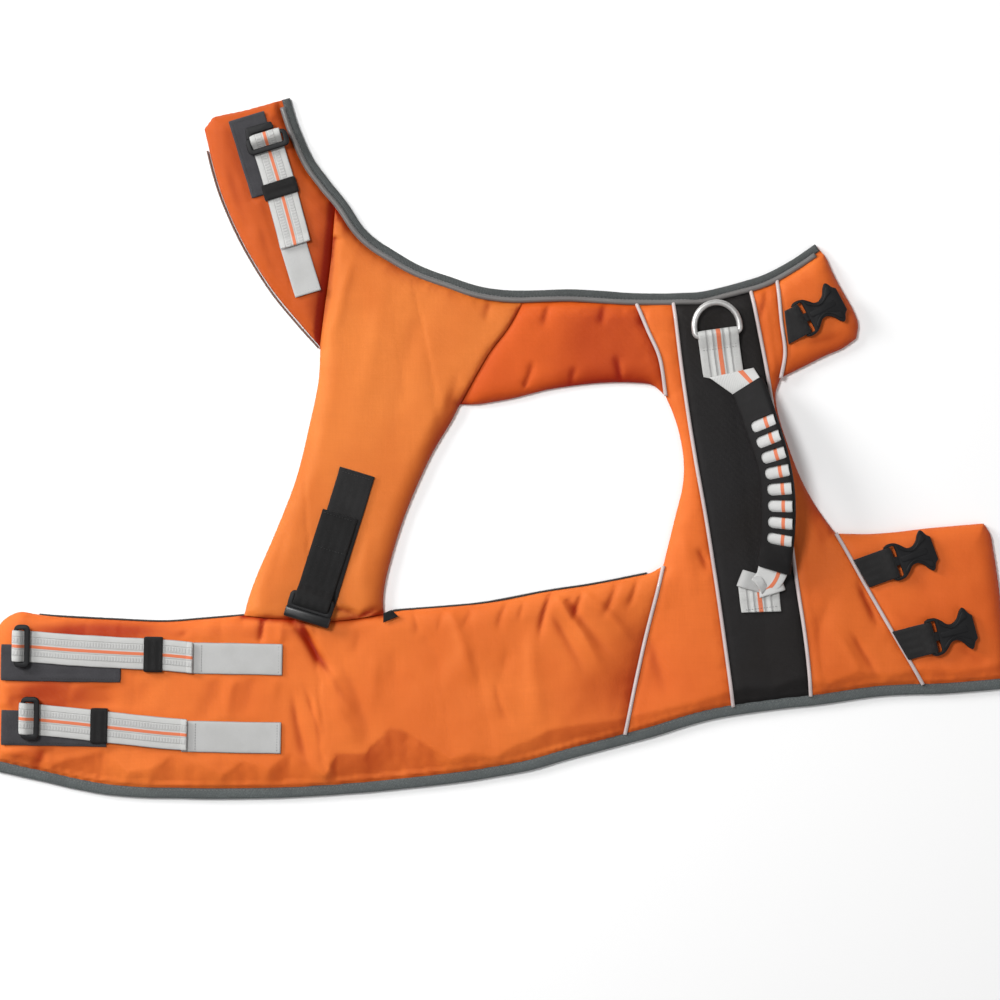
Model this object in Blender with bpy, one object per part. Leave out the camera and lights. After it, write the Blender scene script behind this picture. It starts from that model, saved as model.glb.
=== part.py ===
"""A dog's life jacket, opened and laid flat: padded nylon panels with their bindings, pipings, adjuster
straps, carrying handle, lead ring and buckles. Metres, +Z up. +Y points to the neck, and the underside
lies on Z = 0. Tables of the cut are in millimetres, in the plan of the opened jacket."""

import math

import bmesh
import bpy
from mathutils import Matrix, Vector
from mathutils.bvhtree import BVHTree

MM = 0.001

# Padding
PAD_HEIGHT = 11.0 * MM          # foam and both shells, in the middle of a panel
EDGE_HEIGHT = 3.6 * MM          # pinched edge
EDGE_ROUNDING = 17.0 * MM       # from the edge to the full height
BOUND_MARGIN = 14.5 * MM        # flat strip that a binding grips
EDGE_LIFT = 1.3 * MM            # how far an edge stands off the surface below
SEAM_DIP = 3.2 * MM             # groove along a sewn seam
SEAM_DIP_WIDTH = 6.0 * MM
GAP = 0.3 * MM                  # between pieces that touch

# Bindings, pipings and edgings
BINDING_GRIP = 7.0 * MM
BINDING_UNDER = 2.5 * MM        # how far the tape turns under the edge
BINDING_WALL = 0.9 * MM
BINDING_GAP = 0.5 * MM
SWEEP_STEP = 14.0 * MM
PIPING_RADIUS = 1.7 * MM
EDGING_WIDTH = 1.2 * MM
EDGING_HEIGHT = 3.0 * MM

# Webbing
WEB = 1.4 * MM                  # thickness of all webbing and tape
STRAP_WIDTH = 25.0 * MM
RING_WEB_WIDTH = 30.0 * MM
CHEST_WEB_WIDTH = 29.0 * MM
LAY_STEP = 9.0 * MM
LAYER = WEB + GAP + 0.05 * MM   # from one layer of webbing to the next
FIRST = LAYER - WEB / 2         # from the padding to the middle of the first layer

# Lead ring
RING_WIRE = 2.4 * MM
RING_WIDTH = 41.0 * MM          # outside
RING_HEIGHT = 30.0 * MM         # outside

# Buckles and sliders
BAR = 1.5 * MM                  # half the thickness of the bar that webbing turns round
BAR_TURN = BAR + 0.4 * MM + WEB / 2
SLIDER_LENGTH = 17.0 * MM
SLIDER_WIDTH = 35.0 * MM
RAIL = 3.6 * MM
BUCKLE_HALF_THICKNESS = 2.5 * MM

# Handle
SLEEVE_SIZE = (28.5 * MM, 7.5 * MM)
SLEEVE_HOLE = (26.4 * MM, 3.2 * MM)
WINDOWS = 8
WINDOW_SIZE = (10.0 * MM, 20.5 * MM)
WINDOW_PITCH = 13.2 * MM
WINDOW_SHIFT = 2.6 * MM         # towards the grip's right edge

# Plan of the cut, millimetres, from a point near the middle. CENTRE brings the middle of the whole
# jacket's box to the origin once it is built.
CENTRE = (0.14, 1.30)

NECKLINE = (
    # x, y from the left wing's end to the right wing's end
    (-173, 279), (-168, 262), (-163, 249), (-153, 228), (-140, 211), (-127, 195), (-113, 175),
    (-100, 163), (-87, 154.5), (-66, 144), (-41, 135), (-13, 125), (10, 121.5), (56, 122.5),
    (102, 121), (143, 121.5), (165, 123), (188, 127.5), (211, 135), (231, 146), (253, 161),
)
HEM = (
    # x, y from the left end to the right end
    (-405, -258.5), (-370, -266.5), (-322, -276), (-262, -280.3), (-177, -279.8), (-118, -276),
    (-41, -268), (17, -259), (57, -248), (113, -233), (169, -217.5), (220, -209.5), (255, -205.5),
    (304, -198.5), (353, -196), (405, -192),
)
WING_LEFT_TOP = ((-173, 279), (-180, 277), (-214, 268), (-229, 266), (-238, 255))
WING_LEFT_EDGE = (
    (-238, 255), (-230, 222), (-222, 197), (-206, 162), (-185, 128), (-164, 102), (-145, 80),
)
WING_FOLD = ((-136, 150), (-141, 112), (-145, 80))
CHEST_EDGE = (
    (-145, 80), (-146.5, 53), (-153, 21), (-164, -24), (-180, -66), (-196, -103), (-204, -126),
    (-206, -135),
)
CHEST_SEAM = ((7, 97), (-9, 76), (-22, 54), (-33, 34))
LEG_LEFT = ((-33, 34), (-40, 20), (-57, -9), (-77, -55), (-91, -101), (-94.5, -125), (-94, -134))
BELLY_JOIN = ((-206, -135), (-169, -138), (-131, -139), (-94, -134))
LEG_TOP = ((-33, 34), (-20, 34), (10, 39), (41, 46.5), (84, 51.5), (120, 50), (132, 41))
LEG_RIGHT = ((132, 41), (140, 21), (145, 0), (146.5, -18), (145, -34), (139, -58), (130, -95))
LEG_BOTTOM = (
    (-94, -134), (-80, -131), (-12, -125), (36, -116), (75, -110), (121, -100.5), (130, -95),
)
WING_RIGHT_END = ((253, 161), (260, 153), (269, 134), (283, 109), (286.5, 98), (285, 87))
WING_RIGHT_LOW = ((224, 55), (260, 73), (278, 81), (285, 87))
BACK_RIGHT_EDGE = (
    (224, 55), (220.5, 46), (222, 28), (229, 5), (240, -24), (253, -48), (268, -69),
)
BELLY_RIGHT_TOP = ((268, -69), (296, -69.5), (326, -67), (341, -65), (387, -61))
BELLY_RIGHT_END = ((387, -61), (392, -68), (399, -110), (404, -160), (405, -192))
BELLY_LEFT_TOP = ((-386, -132), (-354, -136), (-308, -138.5), (-270, -140), (-241, -138), (-206, -135))
BELLY_LEFT_END = ((-386, -132), (-400, -139), (-405, -147), (-405.5, -200), (-405, -258.5))
SEAM_1 = ((117, 94), (127, 71), (132, 41))
SEAM_2 = ((146.5, 48), (157, -18), (164, -58), (174, -122))
SEAM_3 = ((214, 53), (225, -18), (234.5, -95), (243.5, -154))
SEAM_4 = ((224, 102), (227, 76), (224, 55))
SEAM_5 = ((130, -95), (114, -161))
SEAM_6 = ((268, -69), (302, -129))

SEAM_ENDS = {
    # where each seam meets the neck edge and the hem, by x
    "fold": (-132, None), "chest": (20, None), "1": (106, None), "2": (137, 187),
    "3": (199, 249), "4": (220, None), "5": (None, 98), "6": (None, 342),
}

FOLDS = (
    # largest creases of the belly panel: start x, start y, end x, end y, width, depth
    (-157, -150, -134, -186, 16, 2.6),
    (-148, -180, -112, -240, 18, 2.2),
    (-81, -226, -116, -256, 15, 1.8),
    (-76, -226, -46, -256, 15, 1.8),
    (8, -156, 11, -224, 20, 2.4),
    (48, -124, 82, -172, 16, 1.8),
)

COLOURS = {
    # linear colour, roughness, metallic
    "orange nylon": ((0.74, 0.13, 0.027), 0.5, 0.0),
    "black nylon": ((0.028, 0.026, 0.026), 0.6, 0.0),
    "grey binding": ((0.09, 0.1, 0.1), 0.7, 0.0),
    "reflective piping": ((0.6, 0.55, 0.55), 0.45, 0.0),
    "striped webbing": ((0.5, 0.5, 0.48), 0.7, 0.0),
    "dark tape": ((0.065, 0.065, 0.075), 0.8, 0.0),
    "black webbing": ((0.02, 0.02, 0.02), 0.7, 0.0),
    "black plastic": ((0.025, 0.025, 0.028), 0.4, 0.0),
    "nickel": ((0.62, 0.62, 0.62), 0.28, 1.0),
    "black rubber": ((0.022, 0.021, 0.021), 0.6, 0.0),
}


# Scene

def clear_scene():
    for obj in list(bpy.data.objects):
        bpy.data.objects.remove(obj)


def new_collection(name):
    made = bpy.data.collections.new(name)
    bpy.context.scene.collection.children.link(made)
    return made


def material(name):
    if name in bpy.data.materials:
        return bpy.data.materials[name]
    colour, roughness, metallic = COLOURS[name]
    made = bpy.data.materials.new(name)
    made.use_nodes = True
    shader = made.node_tree.nodes["Principled BSDF"]
    shader.inputs["Base Color"].default_value = (*colour, 1.0)
    shader.inputs["Roughness"].default_value = roughness
    shader.inputs["Metallic"].default_value = metallic
    made.diffuse_color = (*colour, 1.0)
    return made


def add_object(name, data, finish):
    obj = bpy.data.objects.new(name, data)
    JACKET.objects.link(obj)
    data.materials.append(material(finish))
    return obj


def mesh_object(name, bm, finish):
    bmesh.ops.recalc_face_normals(bm, faces=bm.faces)
    if bm.calc_volume(signed=True) < 0:
        bmesh.ops.reverse_faces(bm, faces=bm.faces)
    mesh = bpy.data.meshes.new(name)
    bm.to_mesh(mesh)
    bm.free()
    return add_object(name, mesh, finish)


# Plan curves: lists of 2D vectors in metres

def smooth_curve(rows, per_span=8):
    """A Catmull-Rom curve through the rows of a table in millimetres."""
    points = [Vector(row) * MM for row in rows]
    ends = [2 * points[0] - points[1], *points, 2 * points[-1] - points[-2]]
    curve = []
    for i in range(len(points) - 1):
        a, b, c, d = ends[i : i + 4]
        for k in range(per_span):
            t = k / per_span
            curve.append(0.5 * (2 * b + (c - a) * t + (2 * a - 5 * b + 4 * c - d) * t * t
                                + (3 * b - a - 3 * c + d) * t ** 3))
    return curve + [points[-1]]


def point_at_x(curve, x):
    """The point of a left-to-right curve at x in millimetres."""
    x *= MM
    for a, b in zip(curve, curve[1:]):
        if a.x <= x <= b.x:
            return a.lerp(b, (x - a.x) / (b.x - a.x))
    return curve[0] if x < curve[0].x else curve[-1]


def between(curve, x0, x1):
    """The stretch of a left-to-right curve from x0 to x1, in millimetres. None is the curve's end."""
    start = curve[0] if x0 is None else point_at_x(curve, x0)
    end = curve[-1] if x1 is None else point_at_x(curve, x1)
    middle = [p for p in curve if start.x + 0.1 * MM < p.x < end.x - 0.1 * MM]
    return [start, *middle, end]


def lengths_along(points):
    total = [0.0]
    for a, b in zip(points, points[1:]):
        total.append(total[-1] + (b - a).length)
    return total


def resampled(points, cells):
    """The curve's points at equal distances, one more than cells."""
    along = lengths_along(points)
    result, i = [], 0
    for k in range(cells + 1):
        s = along[-1] * k / cells
        while i < len(points) - 2 and along[i + 1] < s:
            i += 1
        span = along[i + 1] - along[i]
        result.append(points[i].lerp(points[i + 1], min(1, (s - along[i]) / span)))
    return result


def stepped(points, step):
    return resampled(points, max(2, round(lengths_along(points)[-1] / step)))


def offset_curve(points, distance):
    """The curve moved to its left by the distance."""
    moved = []
    for i, point in enumerate(points):
        along = points[min(i + 1, len(points) - 1)] - points[max(i - 1, 0)]
        moved.append(point + Vector((-along.y, along.x)).normalized() * distance)
    return moved


def distance_to(polyline, point):
    best = 1.0
    for a, b in zip(polyline, polyline[1:]):
        along = b - a
        t = min(1.0, max(0.0, (point - a).dot(along) / along.length_squared))
        best = min(best, (a + along * t - point).length)
    return best


def seam(rows, name):
    """A seam's curve, tied to the neck edge above and to the hem below where it reaches them."""
    neck_x, hem_x = SEAM_ENDS[name]
    top = [point_at_x(NECK, neck_x) / MM] if neck_x is not None else []
    bottom = [point_at_x(HEMLINE, hem_x) / MM] if hem_x is not None else []
    return smooth_curve([*top, *rows, *bottom])


# Height of the padding

def smooth_step(t):
    t = min(1.0, max(0.0, t))
    return t * t * (3 - 2 * t)


def padding_height(point):
    """Height of the jacket's top at a point of the plan."""
    free = min(distance_to(curve, point) for curve in FREE_EDGES)
    bound = max(0.0, min(distance_to(curve, point) for curve in (NECK, HEMLINE)) - BOUND_MARGIN)
    t = min(1.0, min(free, bound) / EDGE_ROUNDING)
    height = EDGE_HEIGHT + (PAD_HEIGHT - EDGE_HEIGHT) * math.sqrt(1 - (1 - t) ** 2)
    near_seam = min(distance_to(curve, point) for curve in SEAMS)
    dip = SEAM_DIP * (1 - smooth_step(near_seam / SEAM_DIP_WIDTH))
    for x0, y0, x1, y1, width, depth in FOLDS:
        a, b = Vector((x0, y0)) * MM, Vector((x1, y1)) * MM
        along = (b - a).normalized()
        s = (point - a).dot(along) / (b - a).length
        across = abs((point - a).cross(along)) / (width * MM)
        if -0.1 < s < 1.1 and across < 1:
            ends = smooth_step((s + 0.1) / 0.3) * smooth_step((1.1 - s) / 0.3)
            dip += depth * MM * ends * (1 - smooth_step(across))
    return max(EDGE_HEIGHT, height - dip)


# Panels

def side_points(parts):
    """A panel's side: its (curve, cells) parts joined, corners kept."""
    points = []
    for curve, cells in parts:
        points += resampled(curve, cells)[:-1]
    return points + [parts[-1][0][-1]]


def drawn_in(loop, amount):
    """The closed outline drawn in by the amount, for the gap at the seams."""
    turn = 1 if sum(loop[i - 1].cross(loop[i]) for i in range(len(loop))) > 0 else -1
    result = []
    for i, point in enumerate(loop):
        before = (point - loop[i - 1]).normalized()
        after = (loop[(i + 1) % len(loop)] - point).normalized()
        inward = Vector((-(before.y + after.y), before.x + after.x)).normalized() * turn
        slant = max(0.4, inward.dot(Vector((-before.y, before.x)) * turn))
        result.append(point + inward * amount / slant)
    return result


def ring_keys(nu, nv, k):
    """Grid places round the ring that lies k cells inside the rim."""
    a, b = nu - k, nv - k
    return ([(i, k) for i in range(k, a)] + [(a, j) for j in range(k, b)]
            + [(i, b) for i in range(a, k, -1)] + [(k, j) for j in range(b, k, -1)])


def panel(name, finish, top, bottom, left, right):
    """A padded panel. Its top and bottom sides run left to right, the two others downwards."""
    top, bottom, left, right = (side_points(parts) for parts in (top, bottom, left, right))
    nu, nv = len(top) - 1, len(left) - 1
    if len(bottom) - 1 != nu or len(right) - 1 != nv:
        raise ValueError(f"{name}: {nu} and {len(bottom) - 1} across, {nv} and {len(right) - 1} down")
    loop = drawn_in(top[:-1] + right[:-1] + bottom[:0:-1] + left[:0:-1], GAP / 2 + 0.05 * MM)
    top, right = loop[: nu + 1], loop[nu : nu + nv + 1]
    bottom, left = loop[nu + nv : 2 * nu + nv + 1][::-1], (loop[2 * nu + nv :] + loop[:1])[::-1]
    bm = bmesh.new()
    bmesh.ops.create_grid(bm, x_segments=nu, y_segments=nv, size=0.5)
    grid = {}
    for vert in bm.verts:
        i, j = round((vert.co.x + 0.5) * nu), round((0.5 - vert.co.y) * nv)
        u, v = i / nu, j / nv
        across = top[i] * (1 - v) + bottom[i] * v
        down = left[j] * (1 - u) + right[j] * u
        corners = ((top[0] * (1 - u) + top[-1] * u) * (1 - v)
                   + (bottom[0] * (1 - u) + bottom[-1] * u) * v)
        plan = across + down - corners
        vert.co = (*plan, padding_height(plan))
        grid[i, j] = vert
    rim, inner = ring_keys(nu, nv, 0), ring_keys(nu, nv, 1)
    low = {key: bm.verts.new((*grid[key].co.xy, EDGE_LIFT)) for key in rim}
    floor = {key: bm.verts.new((*grid[key].co.xy, 0.0)) for key in inner}
    for here, after in zip(rim, rim[1:] + rim[:1]):
        bm.faces.new((grid[here], grid[after], low[after], low[here]))
        a, b = (floor[min(max(i, 1), nu - 1), min(max(j, 1), nv - 1)] for i, j in (here, after))
        bm.faces.new([low[here], low[after], b] + ([a] if a is not b else []))
    bm.faces.new([floor[key] for key in inner])
    bmesh.ops.triangulate(bm, faces=[f for f in bm.faces if len(f.verts) > 4])
    return mesh_object(name, bm, finish)


def make_panels():
    orange, black = "orange nylon", "black nylon"
    panel("wing_left", orange,
          top=[(CUT["wing top"], 6)], bottom=[(CUT["fold"][::-1], 6)],
          left=[(CUT["wing edge"], 15)], right=[(neck(None, "fold"), 15)])
    panel("chest_panel", orange,
          top=[(neck("fold", "chest"), 12)], bottom=[(CUT["join"], 12)],
          left=[(CUT["fold"], 8), (CUT["chest edge"], 17)],
          right=[(CUT["chest"], 9), (CUT["leg left"], 16)])
    panel("neck_band", orange,
          top=[(neck("chest", "1"), 12)], bottom=[(CUT["leg top"], 12)],
          left=[(CUT["chest"], 9)], right=[(CUT["1"], 9)])
    panel("back_left", orange,
          top=[(neck("1", "2"), 6)], bottom=[(hem("5", "2"), 6)],
          left=[(CUT["1"], 9), (CUT["leg right"], 11), (CUT["5"], 10)], right=[(CUT["2"], 30)])
    panel("back_centre", black,
          top=[(neck("2", "3"), 6)], bottom=[(hem("2", "3"), 6)],
          left=[(CUT["2"], 30)], right=[(CUT["3"], 30)])
    panel("back_right", orange,
          top=[(neck("3", "4"), 6)], bottom=[(hem("3", "6"), 6)],
          left=[(CUT["3"], 30)],
          right=[(CUT["4"], 7), (CUT["back edge"], 11), (CUT["6"], 12)])
    panel("wing_right", orange,
          top=[(neck("4", None), 5)], bottom=[(CUT["wing low"], 5)],
          left=[(CUT["4"], 7)], right=[(CUT["wing end"], 7)])
    panel("belly_right", orange,
          top=[(CUT["belly right top"], 9)], bottom=[(hem("6", None), 9)],
          left=[(CUT["6"], 12)], right=[(CUT["belly right end"], 12)])
    panel("belly_left", orange,
          top=[(CUT["belly left top"], 14), (CUT["join"], 9), (CUT["leg bottom"], 18)],
          bottom=[(hem(None, "5"), 41)],
          left=[(CUT["belly left end"], 11)], right=[(CUT["5"], 11)])


# Tapes and pipings along an edge or a seam

def sweep_profile(name, finish, route, profile):
    """A closed solid of one profile along a route. Route: 2D points. Profile: (left, up) pairs."""
    bm = bmesh.new()
    rings = []
    for i, point in enumerate(route):
        along = route[min(i + 1, len(route) - 1)] - route[max(i - 1, 0)]
        left = Vector((-along.y, along.x)).normalized()
        rings.append([bm.verts.new((*(point + left * a), z)) for a, z in profile])
    for first, second in zip(rings, rings[1:]):
        for k in range(len(profile)):
            n = (k + 1) % len(profile)
            bm.faces.new((first[k], first[n], second[n], second[k]))
    bm.faces.new(rings[0])
    bm.faces.new(rings[-1][::-1])
    return mesh_object(name, bm, finish)


def binding(name, route, outward):
    """Tape folded over an edge: a flange on top, a wall and a narrow flange below."""
    over, wall = EDGE_HEIGHT + GAP, BINDING_GAP + BINDING_WALL
    profile = (
        (-BINDING_GRIP, over), (-BINDING_GRIP, over + BINDING_WALL), (wall / 2, over + BINDING_WALL),
        (wall, over), (wall, 0.0), (-BINDING_UNDER, 0.0), (-BINDING_UNDER, 0.6 * MM),
        (BINDING_GAP, 0.6 * MM), (BINDING_GAP, over),
    )
    sweep_profile(name, "grey binding", route, [(outward * a, z) for a, z in profile])


def edging(name, route, outward):
    """Thin edge tape that shows as a dark line beside a panel's edge."""
    profile = (
        (GAP, 0.4 * MM), (GAP + EDGING_WIDTH, 0.4 * MM), (GAP + EDGING_WIDTH, EDGING_HEIGHT),
        (GAP, EDGING_HEIGHT),
    )
    sweep_profile(name, "grey binding", route, [(outward * a, z) for a, z in profile])


def piping(name, route, clear=0.0):
    """Round piping that lies in a seam's groove, on top of what is under it."""
    data = bpy.data.curves.new(name, "CURVE")
    data.dimensions = "3D"
    data.bevel_depth = PIPING_RADIUS
    data.bevel_resolution = 1
    data.use_fill_caps = True
    data.resolution_u = 1
    spline = data.splines.new("POLY")
    points = stepped(route, SWEEP_STEP)
    spline.points.add(len(points) - 1)
    for i, (point, target) in enumerate(zip(points, spline.points)):
        near = [points[max(i - 1, 0)].lerp(point, k / 4) for k in range(4)]
        near += [point.lerp(points[min(i + 1, len(points) - 1)], k / 4) for k in range(5)]
        height = max(GROUND.height(p, PIPING_RADIUS) for p in near)
        target.co = (*point, max(height, clear) + PIPING_RADIUS + GAP, 1.0)
    return add_object(name, data, "reflective piping")


class Ground:
    """The top of the panels, as something to lay pieces on."""

    def __init__(self, names):
        verts, faces = [], []
        for name in names:
            mesh = bpy.data.objects[name].data
            faces += [[len(verts) + v for v in face.vertices] for face in mesh.polygons]
            verts += [vert.co.copy() for vert in mesh.vertices]
        self.tree = BVHTree.FromPolygons(verts, faces)

    def height(self, point, reach=0.0):
        """Highest point of the panels under the point, or within the reach of it to either side."""
        heights = []
        for dx in (-reach, 0.0, reach):
            for dy in (-reach, 0.0, reach):
                hit = self.tree.ray_cast(Vector((point.x + dx, point.y + dy, 0.2)), Vector((0, 0, -1)))
                heights.append(hit[0].z if hit[0] else 0.0)
        return max(heights)


def make_edges():
    neck_route = stepped(NECK, SWEEP_STEP)
    hem_route = stepped(HEMLINE, SWEEP_STEP)
    binding("neck_binding", neck_route, 1)
    binding("hem_binding", hem_route, -1)
    inner = offset_curve(NECK, -BINDING_GRIP - PIPING_RADIUS - GAP)
    piping("neck_piping", inner[1:-1], EDGE_HEIGHT)
    edging("leg_edging", stepped(CUT["leg bottom"][6:40], SWEEP_STEP), 1)
    edging("wing_edging", stepped(CUT["wing edge"][4:], SWEEP_STEP), -1)
    edging("belly_edging", stepped(CUT["belly left top"][4:], SWEEP_STEP), 1)
    margin = BINDING_GRIP + 2 * PIPING_RADIUS + 3 * GAP
    for name in ("1", "2", "3", "4", "5", "6"):
        route = trimmed(CUT[name], margin if SEAM_ENDS[name][0] is not None else 2 * MM,
                        margin if SEAM_ENDS[name][1] is not None else 2 * MM)
        piping("piping_" + name, route)


def trimmed(points, start, end):
    """The curve without its first and last stretches."""
    along = lengths_along(points)
    return [p for p, s in zip(points, along) if start < s < along[-1] - end]


# Webbing and what it holds

class StrapLine:
    """A straight line on the padding. s runs along it, t to its left, and lift is above the padding."""

    def __init__(self, x, y, heading, length, half_width, level=(0.0, 0.0)):
        self.start = Vector((x, y)) * MM
        self.turn = math.radians(heading)
        self.along = Vector((math.cos(self.turn), math.sin(self.turn)))
        self.left = Vector((-self.along.y, self.along.x))
        self.first = -40 * MM
        count = math.ceil((length * MM - 2 * self.first) / LAY_STEP) + 2
        samples = []
        for k in range(count * 3):
            s = self.first + k * LAY_STEP / 3
            row = [GROUND.height(self.plan(s, half_width * MM * w / 2)) for w in (-2, -1, 0, 1, 2)]
            samples.append(max(row))
        self.tops = [max(samples[max(0, 3 * i - 3) : 3 * i + 4]) for i in range(count)]
        inside = [i for i in range(count)
                  if level[0] * MM <= self.first + i * LAY_STEP <= level[1] * MM]
        for i in inside:
            self.tops[i] = max(self.tops[j] for j in inside)

    def plan(self, s, t):
        return self.start + self.along * s + self.left * t

    def height(self, s):
        at = min(max((s - self.first) / LAY_STEP, 0), len(self.tops) - 1.001)
        i = int(at)
        return self.tops[i] * (i + 1 - at) + self.tops[i + 1] * (at - i)

    def matrix(self, s, t, lift, yaw=0.0):
        place = (*self.plan(s, t), self.height(s) + lift)
        return Matrix.Translation(place) @ Matrix.Rotation(self.turn + math.radians(yaw), 4, "Z")


def turn_round(s, lift, radius, start, end, steps=5):
    """Rows of a route that turns round a bar at s and lift, angles from +s towards up."""
    rows = []
    for k in range(steps + 1):
        angle = math.radians(start + (end - start) * k / steps)
        rows.append((s + radius * math.cos(angle), lift + radius * math.sin(angle)))
    return rows


def webbing(name, finish, line, route, width, t=(0.0, 0.0), slant=0.0):
    """Flat webbing along a strap line. Route: (s, lift) rows of its middle layer, in metres.
    t gives its place across the line at the route's first and last s, slant the skew of its first end."""
    rows = []
    for (s0, lift0), (s1, lift1) in zip(route, route[1:]):
        steps = max(1, round(abs(s1 - s0) / LAY_STEP))
        rows += [(s0 + (s1 - s0) * k / steps, lift0 + (lift1 - lift0) * k / steps) for k in range(steps)]
    rows.append(route[-1])
    path = [Vector((s, line.height(s) + lift)) for s, lift in rows]
    low, high = offset_curve(path, -WEB / 2), offset_curve(path, WEB / 2)
    outline = low + high[::-1]
    s_first, s_last = min(s for s, _ in rows), max(s for s, _ in rows)
    bm = bmesh.new()
    sides = []
    for half in (-width / 2, width / 2):
        verts = []
        for k, point in enumerate(outline):
            middle = t[0] + (t[1] - t[0]) * (point.x - s_first) / (s_last - s_first)
            skew = slant * half if k in (0, len(outline) - 1) else 0.0
            verts.append(bm.verts.new((*line.plan(point.x + skew, middle + half), point.y)))
        sides.append(verts)
    count = len(outline)
    for k in range(count):
        n = (k + 1) % count
        bm.faces.new((sides[0][k], sides[0][n], sides[1][n], sides[1][k]))
    for k in range(len(low) - 1):
        for verts in sides:
            bm.faces.new((verts[k], verts[k + 1], verts[count - 2 - k], verts[count - 1 - k]))
    return mesh_object(name, bm, finish)


def rounded_box(bm, size, place, bevel):
    made = bmesh.ops.create_cube(bm, size=1.0)
    bmesh.ops.scale(bm, vec=size, verts=made["verts"])
    bmesh.ops.translate(bm, vec=place, verts=made["verts"])
    edges = {edge for vert in made["verts"] for edge in vert.link_edges}
    bmesh.ops.bevel(bm, geom=list(edges), offset=bevel, segments=1, affect="EDGES")


def box_mesh(name, boxes):
    """A mesh of rounded boxes: (size, place, bevel) rows in metres."""
    bm = bmesh.new()
    for size, place, bevel in boxes:
        rounded_box(bm, size, place, bevel)
    mesh = bpy.data.meshes.new(name)
    bm.to_mesh(mesh)
    bm.free()
    return mesh


def helper(name, boxes):
    """A hidden piece for a Boolean."""
    obj = bpy.data.objects.new(name, box_mesh(name, boxes))
    CUTTERS.objects.link(obj)
    obj.hide_render = True
    obj.display_type = "WIRE"
    return obj


def add_boolean(obj, other, operation):
    modifier = obj.modifiers.new(other.name, "BOOLEAN")
    modifier.operation = operation
    modifier.object = other


def union(name, finish, boxes, matrix):
    """One solid from overlapping rounded boxes."""
    obj = add_object(name, box_mesh(name, boxes[:1]), finish)
    obj.matrix_world = matrix
    for k, box in enumerate(boxes[1:]):
        other = helper(f"{name} piece {k + 2}", [box])
        other.matrix_world = matrix
        add_boolean(obj, other, "UNION")
    return obj


def slider(name, line, s, t, base_lift):
    """Frame with a low bar, which webbing turns round, and a high bar, which webbing passes under.
    s is its low end, base_lift the lift of the surface it stands on."""
    half = SLIDER_WIDTH / 2 - RAIL / 2
    rail = (SLIDER_LENGTH, RAIL, 5.6 * MM)
    low_bar = (2 * BAR, SLIDER_WIDTH - RAIL, 2 * BAR)
    high_bar = (3.4 * MM, SLIDER_WIDTH - RAIL, 2.2 * MM)
    boxes = [
        (rail, (SLIDER_LENGTH / 2, half, 2.8 * MM), 0.9 * MM),
        (rail, (SLIDER_LENGTH / 2, -half, 2.8 * MM), 0.9 * MM),
        (low_bar, (2.0 * MM, 0.0, SLIDER_BAR_LIFT), 0.6 * MM),
        (high_bar, (SLIDER_LENGTH - 2.2 * MM, 0.0, 4.5 * MM), 0.6 * MM),
    ]
    union(name, "black plastic", boxes, line.matrix(s, t, base_lift + GAP))


def strap_route(s, base_lift, end):
    """Striped webbing that starts under a slider's low bar, turns round it, passes under its high bar
    and runs on along the base tape."""
    flat = base_lift + GAP + WEB / 2
    bar_lift = base_lift + GAP + SLIDER_BAR_LIFT
    bar_s = s + 2.0 * MM
    return [
        (bar_s + 3.5 * MM, bar_lift - BAR_TURN),
        *turn_round(bar_s, bar_lift, BAR_TURN, 270, 90),
        (bar_s + 3.0 * MM, bar_lift + BAR_TURN),
        (s + SLIDER_LENGTH - 7.0 * MM, flat + 0.3 * MM), (s + SLIDER_LENGTH, flat + 0.1 * MM),
        (s + SLIDER_LENGTH + 8 * MM, flat), (end, flat),
    ]


SLIDER_BAR_LIFT = BAR_TURN + WEB / 2 + 0.1 * MM


def adjuster(name, line, base, slider_at, strap, keeper, plain):
    """An adjuster strap on its base tape. Rows: base (s0, s1, t, width), slider_at (s, t),
    strap (end s, t at the slider, t at the end), keeper (s0, s1), plain (s0, s1, t, width)."""
    s0, s1, t, width = (value * MM for value in base)
    base_top = FIRST + WEB / 2
    webbing(name + "_base", "dark tape", line, [(s0, FIRST), (s1, FIRST)], width, (t, t))
    s, t = (value * MM for value in slider_at)
    slider(name + "_slider", line, s, t, base_top)
    end, t0, t1 = (value * MM for value in strap)
    webbing(name + "_webbing", "striped webbing", line, strap_route(s, base_top, end), STRAP_WIDTH,
            (t0, t1))
    k0, k1 = (value * MM for value in keeper)
    middle = t0 + (t1 - t0) * ((k0 + k1) / 2 - s) / (end - s)
    over = base_top + LAYER
    webbing(name + "_keeper", "black webbing", line, [(k0, over + FIRST), (k1, over + FIRST)],
            STRAP_WIDTH + 1.5 * MM, (middle, middle))
    p0, p1, t, width = (value * MM for value in plain)
    webbing(name + "_plain", "striped webbing", line, [(p0, FIRST), (p1, FIRST)], width, (t, t))


def make_straps():
    adjuster("neck_strap", StrapLine(-203.5, 264, -73, 160, 22, level=(-10, 40)),
             base=(0, 64, 0, 29.5), slider_at=(11, 8.5), strap=(110, 8.5, 6.5), keeper=(57, 70),
             plain=(112, 150, 4.5, 21.5))
    adjuster("belly_upper", StrapLine(-399, -163, -1, 230, 24, level=(-20, 40)),
             base=(0, 95, -9, 29), slider_at=(6, 4.5), strap=(155, 5, -2), keeper=(114, 129),
             plain=(156.5, 226, -4, 25))
    adjuster("belly_lower", StrapLine(-399, -221, -1, 230, 24, level=(-20, 40)),
             base=(0, 84, -3, 28), slider_at=(11, 5.1), strap=(150, 5, -6), keeper=(71.5, 85),
             plain=(151.5, 225, -9, 25))


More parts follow.
